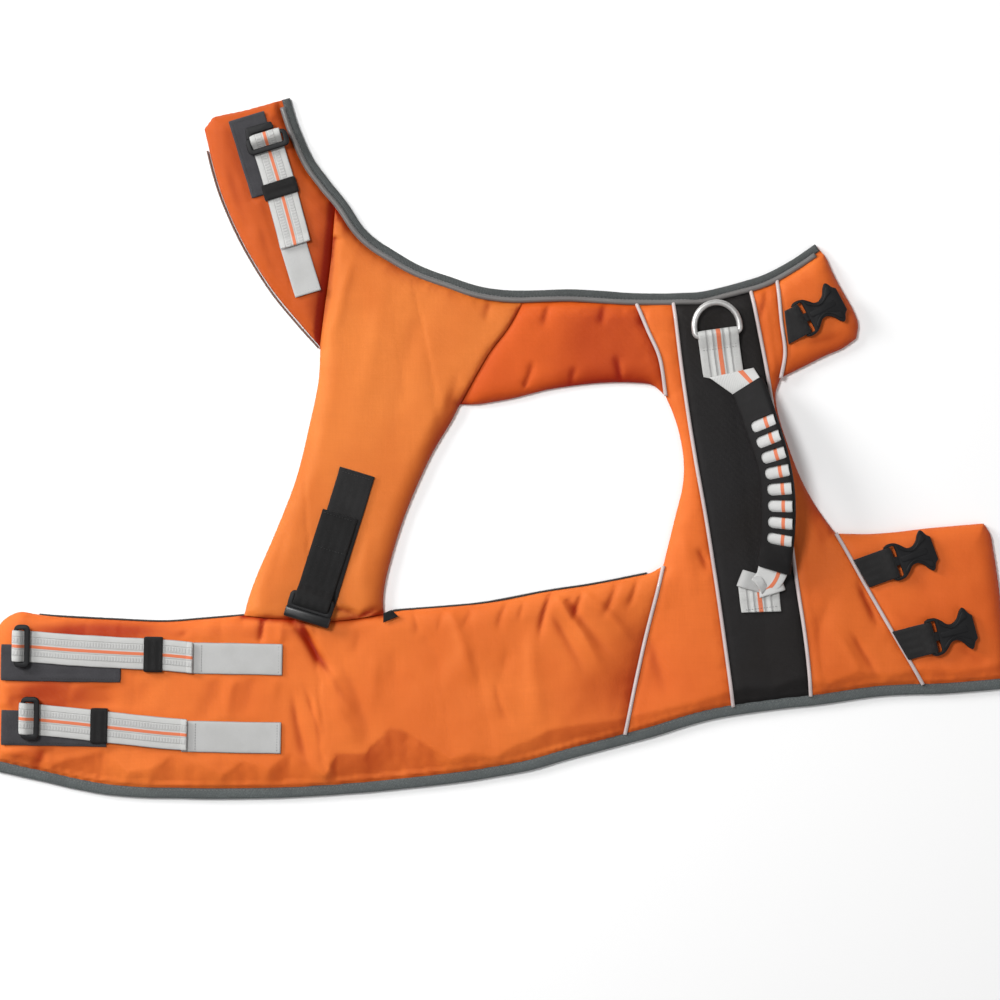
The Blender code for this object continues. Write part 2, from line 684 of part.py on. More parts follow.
def make_chest_strap():
    line = StrapLine(-114.8, -20, -107, 130, 18, level=(95, 135))
    webbing("chest_tape", "black webbing", line, [(0.0, FIRST), (108 * MM, FIRST)], CHEST_WEB_WIDTH)
    top = FIRST + WEB / 2
    low_end = 113 * MM
    bar_s, bar_lift = low_end + 3.0 * MM, top + GAP + SLIDER_BAR_LIFT
    route = [
        (36 * MM, top + FIRST), (98 * MM, top + FIRST), (106 * MM, bar_lift + BAR_TURN),
        *turn_round(bar_s, bar_lift, BAR_TURN, 90, -90), (107 * MM, bar_lift - BAR_TURN),
    ]
    webbing("chest_webbing", "black webbing", line, route, CHEST_WEB_WIDTH, (-4 * MM, -4 * MM))
    rail = (14 * MM, RAIL, 5.0 * MM)
    half = CHEST_WEB_WIDTH / 2 + 0.5 * MM + RAIL / 2
    boxes = [
        (rail, (4.0 * MM, half, 2.7 * MM), 0.9 * MM),
        (rail, (4.0 * MM, -half, 2.7 * MM), 0.9 * MM),
        ((2 * BAR, 2 * half, 2 * BAR), (0.0, 0.0, SLIDER_BAR_LIFT), 0.6 * MM),
        ((3.4 * MM, 2 * half, 3.0 * MM), (9.0 * MM, 0.0, 3.0 * MM), 0.6 * MM),
    ]
    union("chest_slider", "black plastic", boxes, line.matrix(bar_s, -4 * MM, top + GAP))


# Lead ring and handle

def make_ring(line):
    """The ring lies flat towards the neck, its straight bar in the webbing's loop."""
    ring_lift = FIRST + WEB / 2 + 0.4 * MM + RING_WIRE
    turn = RING_WIRE + 0.4 * MM + WEB / 2
    route = [
        (36 * MM, FIRST), (4 * MM, FIRST), *turn_round(0.0, ring_lift, turn, 270, 90),
        (6 * MM, FIRST + LAYER + 2.6 * MM), (12 * MM, FIRST + LAYER), (36 * MM, FIRST + LAYER),
    ]
    webbing("ring_webbing", "striped webbing", line, route, RING_WEB_WIDTH)
    half = RING_WIDTH / 2 - RING_WIRE
    height = RING_HEIGHT - 2 * RING_WIRE
    corner = 3.5 * MM
    points = [(-half + corner, 0.0), (half - corner, 0.0)]
    points += [(half - corner + corner * math.sin(a), corner - corner * math.cos(a))
               for a in (math.pi / 4, math.pi / 2)]
    rise = height - corner - 2.5 * MM
    base = corner + 2.5 * MM
    points += [(half * math.cos(math.pi * k / 10), base + rise * math.sin(math.pi * k / 10))
               for k in range(11)]
    points += [(-half + corner - corner * math.sin(a), corner - corner * math.cos(a))
               for a in (math.pi / 2, math.pi / 4)]
    data = bpy.data.curves.new("d_ring", "CURVE")
    data.dimensions = "3D"
    data.bevel_depth = RING_WIRE
    data.bevel_resolution = 2
    data.resolution_u = 1
    spline = data.splines.new("POLY")
    spline.use_cyclic_u = True
    spline.points.add(len(points) - 1)
    for (x, y), target in zip(points, spline.points):
        target.co = (-y, x, 0.0, 1.0)
    obj = add_object("d_ring", data, "nickel")
    obj.matrix_world = line.matrix(0.0, 0.0, ring_lift)


HANDLE_ROUTE = (
    # middle of the grip: x, y, z, width of the webbing there, roll towards the right
    (190.5, 59.0, 16.2, 25.0, 8), (195.5, 51.0, 17.2, 25.0, 14), (199.5, 42.0, 20.4, 25.0, 18),
    (205.0, 27.0, 25.6, 25.0, 23), (211.5, 8.0, 30.4, 25.0, 27), (217.5, -10.0, 33.0, 25.0, 28),
    (221.5, -30.0, 34.0, 25.0, 28), (222.8, -50.0, 32.6, 25.0, 28), (221.6, -70.0, 28.8, 25.0, 25),
    (219.2, -86.0, 23.4, 25.0, 20), (215.6, -98.0, 19.0, 24.0, 14), (210.5, -107.0, 16.6, 22.0, 6),
    (207.5, -116.0, 15.9, 21.0, 0),
)
SLEEVE_SPAN = (16.0, 161.0)         # along the handle's route, millimetres
SLEEVE_CELLS = 16
FIRST_WINDOW = 46.0                 # middle of the first window, along the route


def frame_at(rows, spots, along, s):
    i = max(k for k in range(len(along) - 1) if along[k] <= s or k == 0)
    t = min(1.0, (s - along[i]) / (along[i + 1] - along[i]))
    four = [spots[min(max(k, 0), len(spots) - 1)] for k in (i - 1, i, i + 1, i + 2)]
    a, b, c, d = four
    place = 0.5 * (2 * b + (c - a) * t + (2 * a - 5 * b + 4 * c - d) * t * t
                   + (3 * b - a - 3 * c + d) * t ** 3)
    slope = (0.5 * ((c - a) + 2 * (2 * a - 5 * b + 4 * c - d) * t
                    + 3 * (3 * b - a - 3 * c + d) * t * t)).normalized()
    width = rows[i][3] + (rows[i + 1][3] - rows[i][3]) * t
    roll = math.radians(rows[i][4] + (rows[i + 1][4] - rows[i][4]) * t)
    side = Vector((-slope.y, slope.x, 0.0)).normalized()
    turn = Matrix.Rotation(roll, 3, slope)
    across = turn @ side
    return place, across, across.cross(slope) * -1, width * MM


def loft(bm, rings):
    for first, second in zip(rings, rings[1:]):
        for k in range(len(first)):
            n = (k + 1) % len(first)
            bm.faces.new((first[k], first[n], second[n], second[k]))


def make_handle():
    spots = [Vector(row[:3]) * MM for row in HANDLE_ROUTE]
    along = lengths_along(spots)
    first, last = (end * MM for end in SLEEVE_SPAN)
    in_sleeve = [first + (last - first) * k / SLEEVE_CELLS for k in range(SLEEVE_CELLS + 1)]
    stations = [0.0, first / 2, *in_sleeve]
    stations += [last + (along[-1] - last) * k / 3 for k in (1, 2, 3)]
    bm = bmesh.new()
    rings = []
    for s in stations:
        place, across, up, width = frame_at(HANDLE_ROUTE, spots, along, s)
        corners = ((-1, -1), (1, -1), (1, 1), (-1, 1))
        rings.append([bm.verts.new(place + across * a * width / 2 + up * b * WEB / 2)
                      for a, b in corners])
    loft(bm, rings)
    bm.faces.new(rings[0])
    bm.faces.new(rings[-1][::-1])
    mesh_object("handle_webbing", bm, "striped webbing")

    bm = bmesh.new()
    outer, inner = [], []
    for s in in_sleeve:
        place, across, up, _ = frame_at(HANDLE_ROUTE, spots, along, s)
        for rings, size in ((outer, SLEEVE_SIZE), (inner, SLEEVE_HOLE)):
            rings.append([bm.verts.new(place + across * a + up * b) for a, b in slot_section(*size)])
    loft(bm, outer + inner[::-1] + outer[:1])
    sleeve = mesh_object("handle_sleeve", bm, "black rubber")
    for k in range(WINDOWS):
        place, across, up, _ = frame_at(HANDLE_ROUTE, spots, along, FIRST_WINDOW * MM + k * WINDOW_PITCH)
        slope = across.cross(up)
        size = (WINDOW_SIZE[0], WINDOW_SIZE[1], 8.0 * MM)
        middle = (0.0, WINDOW_SHIFT, size[2] / 2 + 0.9 * MM)
        cutter = helper(f"window {k + 1}", [(size, middle, 1.4 * MM)])
        turned = Matrix((slope, across, up)).transposed().to_4x4()
        cutter.matrix_world = Matrix.Translation(place) @ turned
        add_boolean(sleeve, cutter, "DIFFERENCE")


def slot_section(width, height):
    """A round-ended section, (across, up)."""
    half_w, half_h = width / 2, height / 2
    flat = half_w - half_h
    points = []
    for centre, start in ((flat, -90), (-flat, 90)):
        for k in range(5):
            angle = math.radians(start + 45 * k)
            points.append((centre + half_h * math.cos(angle), half_h * math.sin(angle)))
    return points


# Buckles

BUCKLE_OUTLINE = (
    # half outline: s from the bar, half width
    (-2.0, 14.9), (3.0, 14.9), (7.5, 14.0), (11.5, 11.0), (14.5, 7.8), (17.5, 6.8), (20.5, 7.4),
    (24.0, 10.2), (26.5, 14.2), (29.5, 16.2), (31.5, 15.6), (36.0, 9.6),
)
BUCKLE_SLOT = (-2.0, 6.4, 12.9)         # s from, s to, half width, millimetres


def plate_mesh(name, outline, half_thickness):
    """A closed flat plate from an outline in metres."""
    data = bpy.data.curves.new(name, "CURVE")
    data.dimensions = "2D"
    data.fill_mode = "BOTH"
    data.extrude = half_thickness
    data.resolution_u = 1
    spline = data.splines.new("POLY")
    spline.use_cyclic_u = True
    spline.points.add(len(outline) - 1)
    for (x, y), target in zip(outline, spline.points):
        target.co = (x, y, 0.0, 1.0)
    guide = bpy.data.objects.new(name + " outline", data)
    CUTTERS.objects.link(guide)
    bpy.context.view_layer.update()
    mesh = bpy.data.meshes.new_from_object(guide.evaluated_get(bpy.context.evaluated_depsgraph_get()))
    bpy.data.objects.remove(guide)
    bm = bmesh.new()
    bm.from_mesh(mesh)
    bmesh.ops.remove_doubles(bm, verts=bm.verts, dist=0.01 * MM)
    bm.to_mesh(mesh)
    bm.free()
    return mesh


def make_buckle(name, x, y, heading, stub, slant):
    """A male buckle and the webbing loop that holds it. x and y: its bar. stub: length of the webbing."""
    line = StrapLine(x, y, heading, 45, 17, level=(-stub - 12, 45))
    bar_lift = FIRST + WEB / 2 + 0.4 * MM + BAR
    route = [
        (-stub * MM, FIRST), (-3.0 * MM, FIRST), *turn_round(0.0, bar_lift, BAR_TURN, -90, 90),
        (-3.0 * MM, bar_lift + BAR_TURN), (-8.0 * MM, FIRST + LAYER + 0.6 * MM),
        (-stub * MM, FIRST + LAYER),
    ]
    webbing(name + "_webbing", "black webbing", line, route, STRAP_WIDTH, slant=slant)
    half = [(s * MM, t * MM) for s, t in BUCKLE_OUTLINE]
    s0, s1, t = (value * MM for value in BUCKLE_SLOT)
    outline = half + [(s, -t) for s, t in half[::-1]] + [(s0, -t), (s1, -t), (s1, t), (s0, t)]
    plate = add_object(name, plate_mesh(name, outline, BUCKLE_HALF_THICKNESS), "black plastic")
    plate.matrix_world = line.matrix(0.0, 0.0, bar_lift)
    bar = helper(name + " bar", [((2 * BAR, 2 * t + 2 * MM, 2 * BAR), (0.0, 0.0, 0.0), 0.5 * MM)])
    bar.matrix_world = plate.matrix_world
    add_boolean(plate, bar, "UNION")


# The jacket

clear_scene()
JACKET = new_collection("dog life jacket")
CUTTERS = new_collection("cutters")
CUTTERS.hide_render = True
NECK = smooth_curve(NECKLINE)
HEMLINE = smooth_curve(HEM)
CUT = {
    "wing top": smooth_curve(WING_LEFT_TOP[::-1]), "wing edge": smooth_curve(WING_LEFT_EDGE),
    "fold": seam(WING_FOLD, "fold"), "chest edge": smooth_curve(CHEST_EDGE),
    "chest": seam(CHEST_SEAM, "chest"), "join": smooth_curve(BELLY_JOIN),
    "leg left": smooth_curve(LEG_LEFT), "leg top": smooth_curve(LEG_TOP),
    "leg right": smooth_curve(LEG_RIGHT), "leg bottom": smooth_curve(LEG_BOTTOM),
    "wing end": smooth_curve(WING_RIGHT_END), "wing low": smooth_curve(WING_RIGHT_LOW),
    "back edge": smooth_curve(BACK_RIGHT_EDGE), "belly right top": smooth_curve(BELLY_RIGHT_TOP),
    "belly right end": smooth_curve(BELLY_RIGHT_END), "belly left top": smooth_curve(BELLY_LEFT_TOP),
    "belly left end": smooth_curve(BELLY_LEFT_END), "1": seam(SEAM_1, "1"), "2": seam(SEAM_2, "2"),
    "3": seam(SEAM_3, "3"), "4": seam(SEAM_4, "4"), "5": seam(SEAM_5, "5"), "6": seam(SEAM_6, "6"),
}
SEAM_NAMES = ("fold", "chest", "join", "1", "2", "3", "4", "5", "6")
SEAMS = [CUT[name] for name in SEAM_NAMES]
FREE_EDGES = [curve for name, curve in CUT.items() if name not in SEAM_NAMES]


def neck(left, right):
    """The neck edge from one seam to another. None is its end."""
    return between(NECK, left and SEAM_ENDS[left][0], right and SEAM_ENDS[right][0])


def hem(left, right):
    return between(HEMLINE, left and SEAM_ENDS[left][1], right and SEAM_ENDS[right][1])


make_panels()
GROUND = Ground([obj.name for obj in JACKET.objects])
make_edges()
make_straps()
make_chest_strap()
TAB_LINE = StrapLine(-96, -131, -50, 12, 5)
webbing("leg_tab", "black webbing", TAB_LINE, [(0.0, FIRST), (11 * MM, FIRST)], 8 * MM)
RING_LINE = StrapLine(173, 90, -82, 40, 16, level=(-30, 45))
make_ring(RING_LINE)
make_handle()
ANCHOR_LINE = StrapLine(206.5, -103, -88, 31, 16, level=(-10, 40))
webbing("handle_anchor", "striped webbing", ANCHOR_LINE, [(0.0, FIRST), (31 * MM, FIRST)], 33 * MM)
make_buckle("neck_buckle", 239.6, 101.2, 28, 12, 0.38)
make_buckle("belly_buckle_1", 311.5, -92.8, 20, 20, -0.18)
make_buckle("belly_buckle_2", 343, -152.5, 15, 20, -0.27)
for part in bpy.data.objects:
    part.matrix_world = Matrix.Translation((CENTRE[0] * MM, CENTRE[1] * MM, 0.0)) @ part.matrix_world
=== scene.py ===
import math
from functools import cache

import bmesh
import bpy
import numpy as np
from bpy.props import FloatProperty, FloatVectorProperty, PointerProperty
from mathutils import Matrix, Vector
from mathutils.bvhtree import BVHTree
from mathutils.geometry import delaunay_2d_cdt
from mathutils.kdtree import KDTree


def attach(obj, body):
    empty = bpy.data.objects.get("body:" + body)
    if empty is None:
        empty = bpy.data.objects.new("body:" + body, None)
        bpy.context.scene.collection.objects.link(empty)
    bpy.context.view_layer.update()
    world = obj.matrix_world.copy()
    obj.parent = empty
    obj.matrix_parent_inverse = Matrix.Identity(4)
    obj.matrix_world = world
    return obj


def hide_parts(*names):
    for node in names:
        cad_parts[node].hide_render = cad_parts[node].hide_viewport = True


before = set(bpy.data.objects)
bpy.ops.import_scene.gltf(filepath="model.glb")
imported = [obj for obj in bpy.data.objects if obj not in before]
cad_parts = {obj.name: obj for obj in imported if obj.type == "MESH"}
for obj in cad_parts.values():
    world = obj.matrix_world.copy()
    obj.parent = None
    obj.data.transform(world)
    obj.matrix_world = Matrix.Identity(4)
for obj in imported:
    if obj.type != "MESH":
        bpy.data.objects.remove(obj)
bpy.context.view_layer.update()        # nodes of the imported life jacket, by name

bl_info = {
    "name": "Dog life jacket",
    "version": (1, 0, 0),
    "blender": (4, 5, 0),
    "location": "3D View > Sidebar > Life Jacket",
    "description": "Padded panels, bindings, straps, handle and buckles of a dog life jacket laid flat",
    "category": "Mesh",
}

MM = 0.001

# Tables of the cut, in millimetres from the middle of the opened jacket.

NECK_EDGE = (
    # x, y from the left wing's end to the right wing's end
    (-173, 280), (-168, 263), (-163, 250), (-153, 229), (-140, 212), (-127, 196), (-113, 176),
    (-100, 164), (-87, 156), (-66, 145), (-41, 136), (-13, 126), (10, 123), (56, 124),
    (102, 122), (143, 123), (165, 124), (188, 129), (211, 136), (231, 147), (253, 162),
)
HEM_EDGE = (
    # x, y from the left end to the right end
    (-405, -257), (-370, -265), (-322, -275), (-262, -279), (-177, -278.5), (-118, -275),
    (-41, -267), (17, -258), (57, -247), (113, -232), (169, -216), (220, -208), (255, -204),
    (304, -197), (353, -195), (405, -191),
)

NECK_SWELL = (
    # x, how far the neck's tape stands out past the sewn edge, millimetres
    (-175, 2.6), (-153, 2.7), (-139, 2.0), (-93, 2.0), (-70, 0.8), (-50, 0.3), (-29, 0.8), (-4, 2.6),
    (38, 2.3), (84, 2.0), (107, 1.5), (134, 0.5), (156, 0.5), (177, 1.8), (199, 2.2), (240, 1.1), (260, 1.0),
)

CREASES = (
    # start x, y, end x, y, half width, height (a trough's is below zero), 1 where it starts at full height
    (-158, -142, -136, -180, 5.2, -5.4, 0), (-168, -136, -150, -158, 4.0, -1.4, 1),
    (-148, -158, -118, -212, 5.5, 1.8, 0), (-144, -176, -124, -206, 6.0, -1.1, 0),
    (-166, -196, -150, -262, 7.0, -1.7, 0), (-156, -192, -143, -252, 3.4, -1.5, 0),
    (-148, -196, -138, -250, 5.0, 1.3, 0), (-134, -200, -112, -236, 9.0, 1.2, 0),
    (-128, -170, -104, -238, 10.0, -0.9, 0), (-100, -160, -104, -214, 9.0, 0.8, 0),
    (-112, -146, -118, -168, 7.0, -0.6, 0), (-88, -156, -84, -208, 12.0, -0.6, 0),
    (-64, -142, -44, -186, 12.0, -0.9, 0), (-38, -136, -22, -186, 8.0, 1.3, 1),
    (-27, -150, -8, -206, 9.0, -0.7, 0), (-4, -190, 8, -222, 6.0, -1.1, 0),
    (6, -160, -4, -196, 10.0, -0.9, 0), (24, -148, 30, -216, 12.0, 1.8, 0),
    (50, -126, 82, -176, 6.0, 1.7, 1), (58, -126, 92, -168, 6.0, -1.0, 1),
    (42, -134, 66, -176, 6.0, -1.3, 0), (70, -118, 104, -152, 5.0, 1.2, 1),
    (120, -128, 102, -224, 36.0, -6.2, 0), (39, -119, 31, -152, 3.6, -1.8, 1),
    (-45, -127, -50, -148, 3.5, -0.7, 1), (-22, -125, -31, -144, 3.5, -0.7, 1),
    (5, -123, -2, -146, 4.0, -1.0, 1), (19, -120, 14, -138, 3.0, -0.8, 1),
    (66, -112, 57, -138, 3.5, -1.4, 1), (93, -107, 82, -134, 4.0, -1.4, 1),
    (110, -103, 101, -128, 3.5, -1.3, 1), (-70, -131, -66, -150, 4.0, -0.9, 1),
    (-316, -180, -308, -212, 14.0, -0.8, 0), (-281, -184, -287, -208, 11.0, -0.5, 0),
    (-226, -180, -236, -216, 15.0, -0.9, 0), (-196, -176, -204, -218, 12.0, -0.8, 0),
    (-212, -182, -219, -214, 8.0, 1.0, 0), (-250, -146, -262, -156, 5.0, -0.9, 0),
    (-190, -141, -199, -176, 4.0, -1.7, 1), (-176, -140, -182, -196, 6.0, 1.1, 0),
    (286, -109, 303, -144, 4.5, -2.2, 0), (281, -148, 303, -184, 5.0, -1.6, 0),
    (270, -150, 289, -186, 6.0, 1.2, 0), (158, -80, 167, -99, 4.0, -1.8, 0),
    (146, -70, 152, -120, 9.0, 1.0, 0), (118, -150, 134, -200, 9.0, -1.2, 0),
    (246, -40, 262, -92, 9.0, -1.2, 0), (262, -120, 256, -180, 12.0, -1.2, 0),
    (320, -80, 352, -122, 12.0, -1.2, 0), (352, -100, 384, -120, 9.0, 1.0, 0),
    (318, -130, 356, -182, 10.0, -1.1, 0), (366, -158, 398, -176, 8.0, -1.1, 0),
    (-133, 158, -146, 82, 7.0, -1.8, 1), (-119, 152, -136, 84, 8.0, 1.2, 0),
    (-96, 128, -118, 20, 14.0, 1.0, 0), (-60, 120, -84, -10, 16.0, -1.0, 0),
    (-152, 20, -166, -40, 10.0, -1.0, 0), (-34, 60, -62, -14, 9.0, -1.1, 0),
    (-170, -60, -190, -124, 9.0, -1.1, 0), (-104, -70, -112, -126, 9.0, 1.1, 0),
    (-134, -128, -112, -134, 3.6, -2.4, 1), (-112, -134, -96, -128, 3.6, -2.2, 0),
    (-192, 180, -168, 120, 9.0, -1.1, 0), (-218, 226, -196, 158, 8.0, -1.0, 0),
    (40, 118, 34, 96, 5.0, -1.3, 1), (84, 118, 80, 98, 5.0, -1.2, 1),
    (-8, 118, -12, 100, 5.0, -0.9, 1), (118, 118, 113, 96, 4.0, -1.0, 1),
    (20, 52, 26, 70, 4.0, -1.4, 1), (96, 56, 92, 74, 4.0, -1.2, 1),
    (56, 52, 60, 66, 4.0, -0.9, 1), (246, 84, 276, 92, 7.0, -1.0, 0),
    (-364, -240, -376, -262, 7.0, -1.2, 0), (212, 124, 208, 104, 4.0, -1.1, 1),
)

HEM_REACH = (
    # x, how far the padding slopes up from the hem there, millimetres
    (-405, 8), (-385, 13), (-362, 9), (-340, 20), (-322, 27), (-300, 12), (-281, 16), (-262, 29),
    (-243, 22), (-222, 12), (-204, 24), (-186, 16), (-168, 30), (-148, 17), (-138, 9), (-130, 27),
    (-106, 25), (-84, 46), (-73, 42),
    (-49, 22), (-38, 12), (-20, 15), (-4, 9), (17, 15), (47, 20), (75, 17), (98, 13), (120, 13),
    (160, 10), (200, 14), (220, 10), (245, 17), (262, 9), (290, 15), (310, 9), (340, 14), (370, 10),
    (405, 13),
)

PRESSED = (
    # what lies flat on the padding and presses it
    "neck_strap_base", "neck_strap_plain", "belly_upper_base", "belly_upper_plain",
    "belly_lower_base", "belly_lower_plain", "chest_tape", "ring_webbing", "handle_anchor",
    "neck_buckle_webbing", "belly_buckle_1_webbing", "belly_buckle_2_webbing", "leg_tab",
    "neck_strap_webbing", "belly_upper_webbing", "belly_lower_webbing",
)


def length_property(name, description, default, low, high):
    """A property for a length. Its default and limits are given in millimetres."""
    return FloatProperty(name=name, description=description, default=default * MM,
                         min=low * MM, max=high * MM, precision=5, subtype="DISTANCE", unit="LENGTH")


def colour_property(name, description, default):
    return FloatVectorProperty(name=name, description=description, default=default, subtype="COLOR",
                               size=3, min=0.0, max=1.0)


class JacketSizes(bpy.types.PropertyGroup):
    """Sizes of the padding, tapes and hardware"""

    pad_height: length_property(
        "Pad height", "Top of the foam and its shells in the middle of a panel", 10.8, 4, 30)
    pad_rounding: length_property("Pad rounding", "From a free edge to the full height", 16.0, 4, 50)
    shell_step: length_property("Shell step", "Distance between the points of a panel's shell", 2.1, 1.2, 10)
    crease_depth: FloatProperty(
        name="Crease depth", description="How strongly the shell's creases show",
        default=1.1, min=0.0, max=3.0, subtype="FACTOR")
    thread: length_property("Thread pitch", "Distance between the threads of the shell's weave", 0.62, 0.1, 3)
    webbing_thickness: length_property("Webbing thickness", "Thickness of all webbing and tape", 1.4, 0.4, 3)
    piping_radius: length_property("Piping radius", "Radius of the reflective piping", 1.5, 0.4, 4)


class JacketColours(bpy.types.PropertyGroup):
    """Colours of the cloth, webbing and hardware"""

    shell: colour_property("Shell", "Orange nylon of the panels", (0.70, 0.132, 0.020))
    # painted shade and painted highlight of the orange shell, mixed in by the panels' painted shading
    shell_fold: colour_property("Shell in a fold", "Orange nylon deep in a fold", (0.30, 0.014, 0.001))
    shell_crest: colour_property(
        "Shell on a crest", "Orange nylon where its slope shines", (0.82, 0.215, 0.048))
    centre: colour_property("Centre panel", "Black nylon of the back's middle", (0.014, 0.0125, 0.0125))
    binding: colour_property("Binding", "Grey tape folded over the edges", (0.10, 0.113, 0.113))
    reflective: colour_property("Piping", "Reflective piping of the seams", (0.56, 0.475, 0.46))
    webbing: colour_property("Webbing", "Light grey webbing", (0.55, 0.55, 0.535))
    stripe: colour_property("Stripe", "Orange stripe of the webbing", (0.70, 0.165, 0.058))
    base_tape: colour_property("Base tape", "Dark tape under the adjuster straps", (0.034, 0.033, 0.036))
    black_web: colour_property("Black webbing", "Black webbing and keepers", (0.011, 0.0105, 0.0105))
    plastic: colour_property("Plastic", "Black moulded plastic", (0.0065, 0.0065, 0.0072))
    metal: colour_property("Ring", "Nickel of the lead ring", (0.60, 0.59, 0.58))
    rubber: colour_property("Grip", "Black sleeve of the handle", (0.0105, 0.0100, 0.0102))
    floor: colour_property("Floor", "Plain pale floor", (0.97, 0.97, 0.97))


def sizes():
    return bpy.context.scene.jacket_sizes


def colours():
    return bpy.context.scene.jacket_colours


# Shader sums

class Term:
    """A shader socket in a sum. Each operation on it adds a Math node."""

    def __init__(self, finish, socket):
        self.finish = finish
        self.socket = socket

    def math(self, operation, *values):
        return self.finish.node("ShaderNodeMath", {"operation": operation}, dict(enumerate(values)))

    def __add__(self, other):
        return self.math("ADD", self, other)

    def __radd__(self, other):
        return self.math("ADD", other, self)

    def __sub__(self, other):
        return self.math("SUBTRACT", self, other)

    def __rsub__(self, other):
        return self.math("SUBTRACT", other, self)

    def __mul__(self, other):
        return self.math("MULTIPLY", self, other)

    def __rmul__(self, other):
        return self.math("MULTIPLY", other, self)

    def sine(self):
        return self.math("SINE", self)

    def size(self):
        return self.math("ABSOLUTE", self)


class Finish:
    """A material that is made up of nodes."""

    def __init__(self, name, roughness=0.5, metallic=0.0, coat=0.0, sheen=0.0, specular=0.5):
        self.material = bpy.data.materials.new(name)
        self.material.use_nodes = True
        self.tree = self.material.node_tree
        self.shader = self.tree.nodes["Principled BSDF"]
        for socket, value in (("Roughness", roughness), ("Metallic", metallic), ("Coat Weight", coat),
                              ("Specular IOR Level", specular), ("Sheen Weight", sheen),
                              ("Sheen Roughness", 0.4)):
            self.set(socket, value)

    def feed(self, socket, value):
        if isinstance(value, Term):
            self.tree.links.new(value.socket, socket)
        elif socket.type == "RGBA":
            socket.default_value = (*value, 1.0)
        else:
            socket.default_value = value

    def set(self, socket, value):
        self.feed(self.shader.inputs[socket], value)

    def node(self, kind, settings=None, inputs=None, output=0):
        """Any node: its settings first, then the values or links of its sockets."""
        made = self.tree.nodes.new(kind)
        for key, value in (settings or {}).items():
            setattr(made, key, value)
        for key, value in (inputs or {}).items():
            self.feed(made.inputs[key], value)
        return Term(self, made.outputs[output])

    def mix(self, factor, first, second):
        """A colour between the first, at factor 0, and the second, at 1."""
        return self.node("ShaderNodeMix", {"data_type": "RGBA"}, {0: factor, 6: first, 7: second}, 2)

    def place(self):
        return self.node("ShaderNodeTexCoord", output=3)

    def strip(self):
        """Across, along and up on a strip of webbing or a cord, in metres."""
        return self.parts(self.node("ShaderNodeAttribute", {"attribute_name": "strip"}, None, 1))

    # the point attribute of painted shading: painted shade above zero, painted highlight below
    def fold(self):
        return self.node("ShaderNodeAttribute", {"attribute_name": "fold"}, None, 2)

    def parts(self, vector):
        split = self.node("ShaderNodeSeparateXYZ", None, {0: vector})
        return [Term(self, socket) for socket in split.socket.node.outputs]

    def noise(self, vector, scale, detail=2.0, roughness=0.5):
        return self.node("ShaderNodeTexNoise", None, {
            "Vector": vector, "Scale": scale, "Detail": detail, "Roughness": roughness})

    def stretch(self, vector, factors):
        return self.node("ShaderNodeVectorMath", {"operation": "MULTIPLY"}, {0: vector, 1: factors})

    def step(self, value, low, high):
        """0 below low, 1 above high, smooth between them."""
        return self.node("ShaderNodeMapRange", {"interpolation_type": "SMOOTHSTEP"}, {
            "Value": value, "From Min": low, "From Max": high})

    def band(self, value, half, soft):
        """1 where the value is within half of zero."""
        return 1 - self.step(value.size(), half - soft / 2, half + soft / 2)

    def dressed(self, colour, roughness, height, distance, strength):
        """The material with this colour and roughness, and bumps of this height."""
        self.set("Base Color", colour)
        self.set("Roughness", roughness)
        self.set("Normal", self.node("ShaderNodeBump", None, {
            "Height": height, "Distance": distance, "Strength": strength}))
        return self.material


def wave(value, pitch):
    """A sine of one period per pitch, from -1 to 1."""
    return (value * (2 * math.pi / pitch)).sine()


def tinted(colour, *factors):
    """The colour times one factor, or times a factor for each channel."""
    return tuple(min(1.0, c * f) for c, f in zip(colour, factors if len(factors) == 3 else factors * 3))


def nylon(name, colour, painted_shade, crest, painted_panel_light=(1.0, 1.0, 1.0), roughness=0.46):
    """Coated plain-weave nylon. Its colour takes painted shade and painted highlight from the mesh's point
    attribute of painted shading: painted shade at 1, painted highlight at -1. The panel's light factor paints
    the whole panel lighter or darker, as light falls on it."""
    finish = Finish(name, specular=0.16)
    place = finish.place()
    x, y, _ = finish.parts(place)
    pitch = sizes().thread
    slub = finish.noise(finish.stretch(place, (1.0, 14.0, 1.0)), 60.0, 2.0)
    slub_2 = finish.noise(finish.stretch(place, (14.0, 1.0, 1.0)), 60.0, 2.0)
    clouds = finish.noise(place, 9.0, 3.0, 0.55)
    grime = finish.noise(place, 55.0, 4.0, 0.6)
    colour = tinted(colour, *painted_panel_light)
    fold = finish.fold()
    cloth = finish.mix(finish.step(clouds, 0.34, 0.66), tinted(colour, 0.93, 0.86, 0.80),
                       tinted(colour, 1.05, 1.10, 1.14))
    cloth = finish.mix((slub + slub_2 - 1.0) * 0.35 + 0.16, cloth, tinted(colour, 0.86, 0.80, 0.78))
    # painted highlight where the painted shading is below zero, painted shade where it is above
    cloth = finish.mix(finish.step(0.0 - fold, 0.02, 1.0), cloth, tinted(crest, *painted_panel_light))
    cloth = finish.mix(finish.step(fold, 0.0, 1.0), cloth, tinted(painted_shade, *painted_panel_light))
    weave = wave(x, pitch) * wave(y, pitch)
    fibres = wave(x + y, pitch * 0.53)
    height = weave * 0.5 + fibres * 0.12 + slub * 0.9 + slub_2 * 0.9 + grime * 1.2
    return finish.dressed(cloth, roughness - 0.10 + 0.16 * grime + 0.05 * slub, height, 0.00016, 0.55)


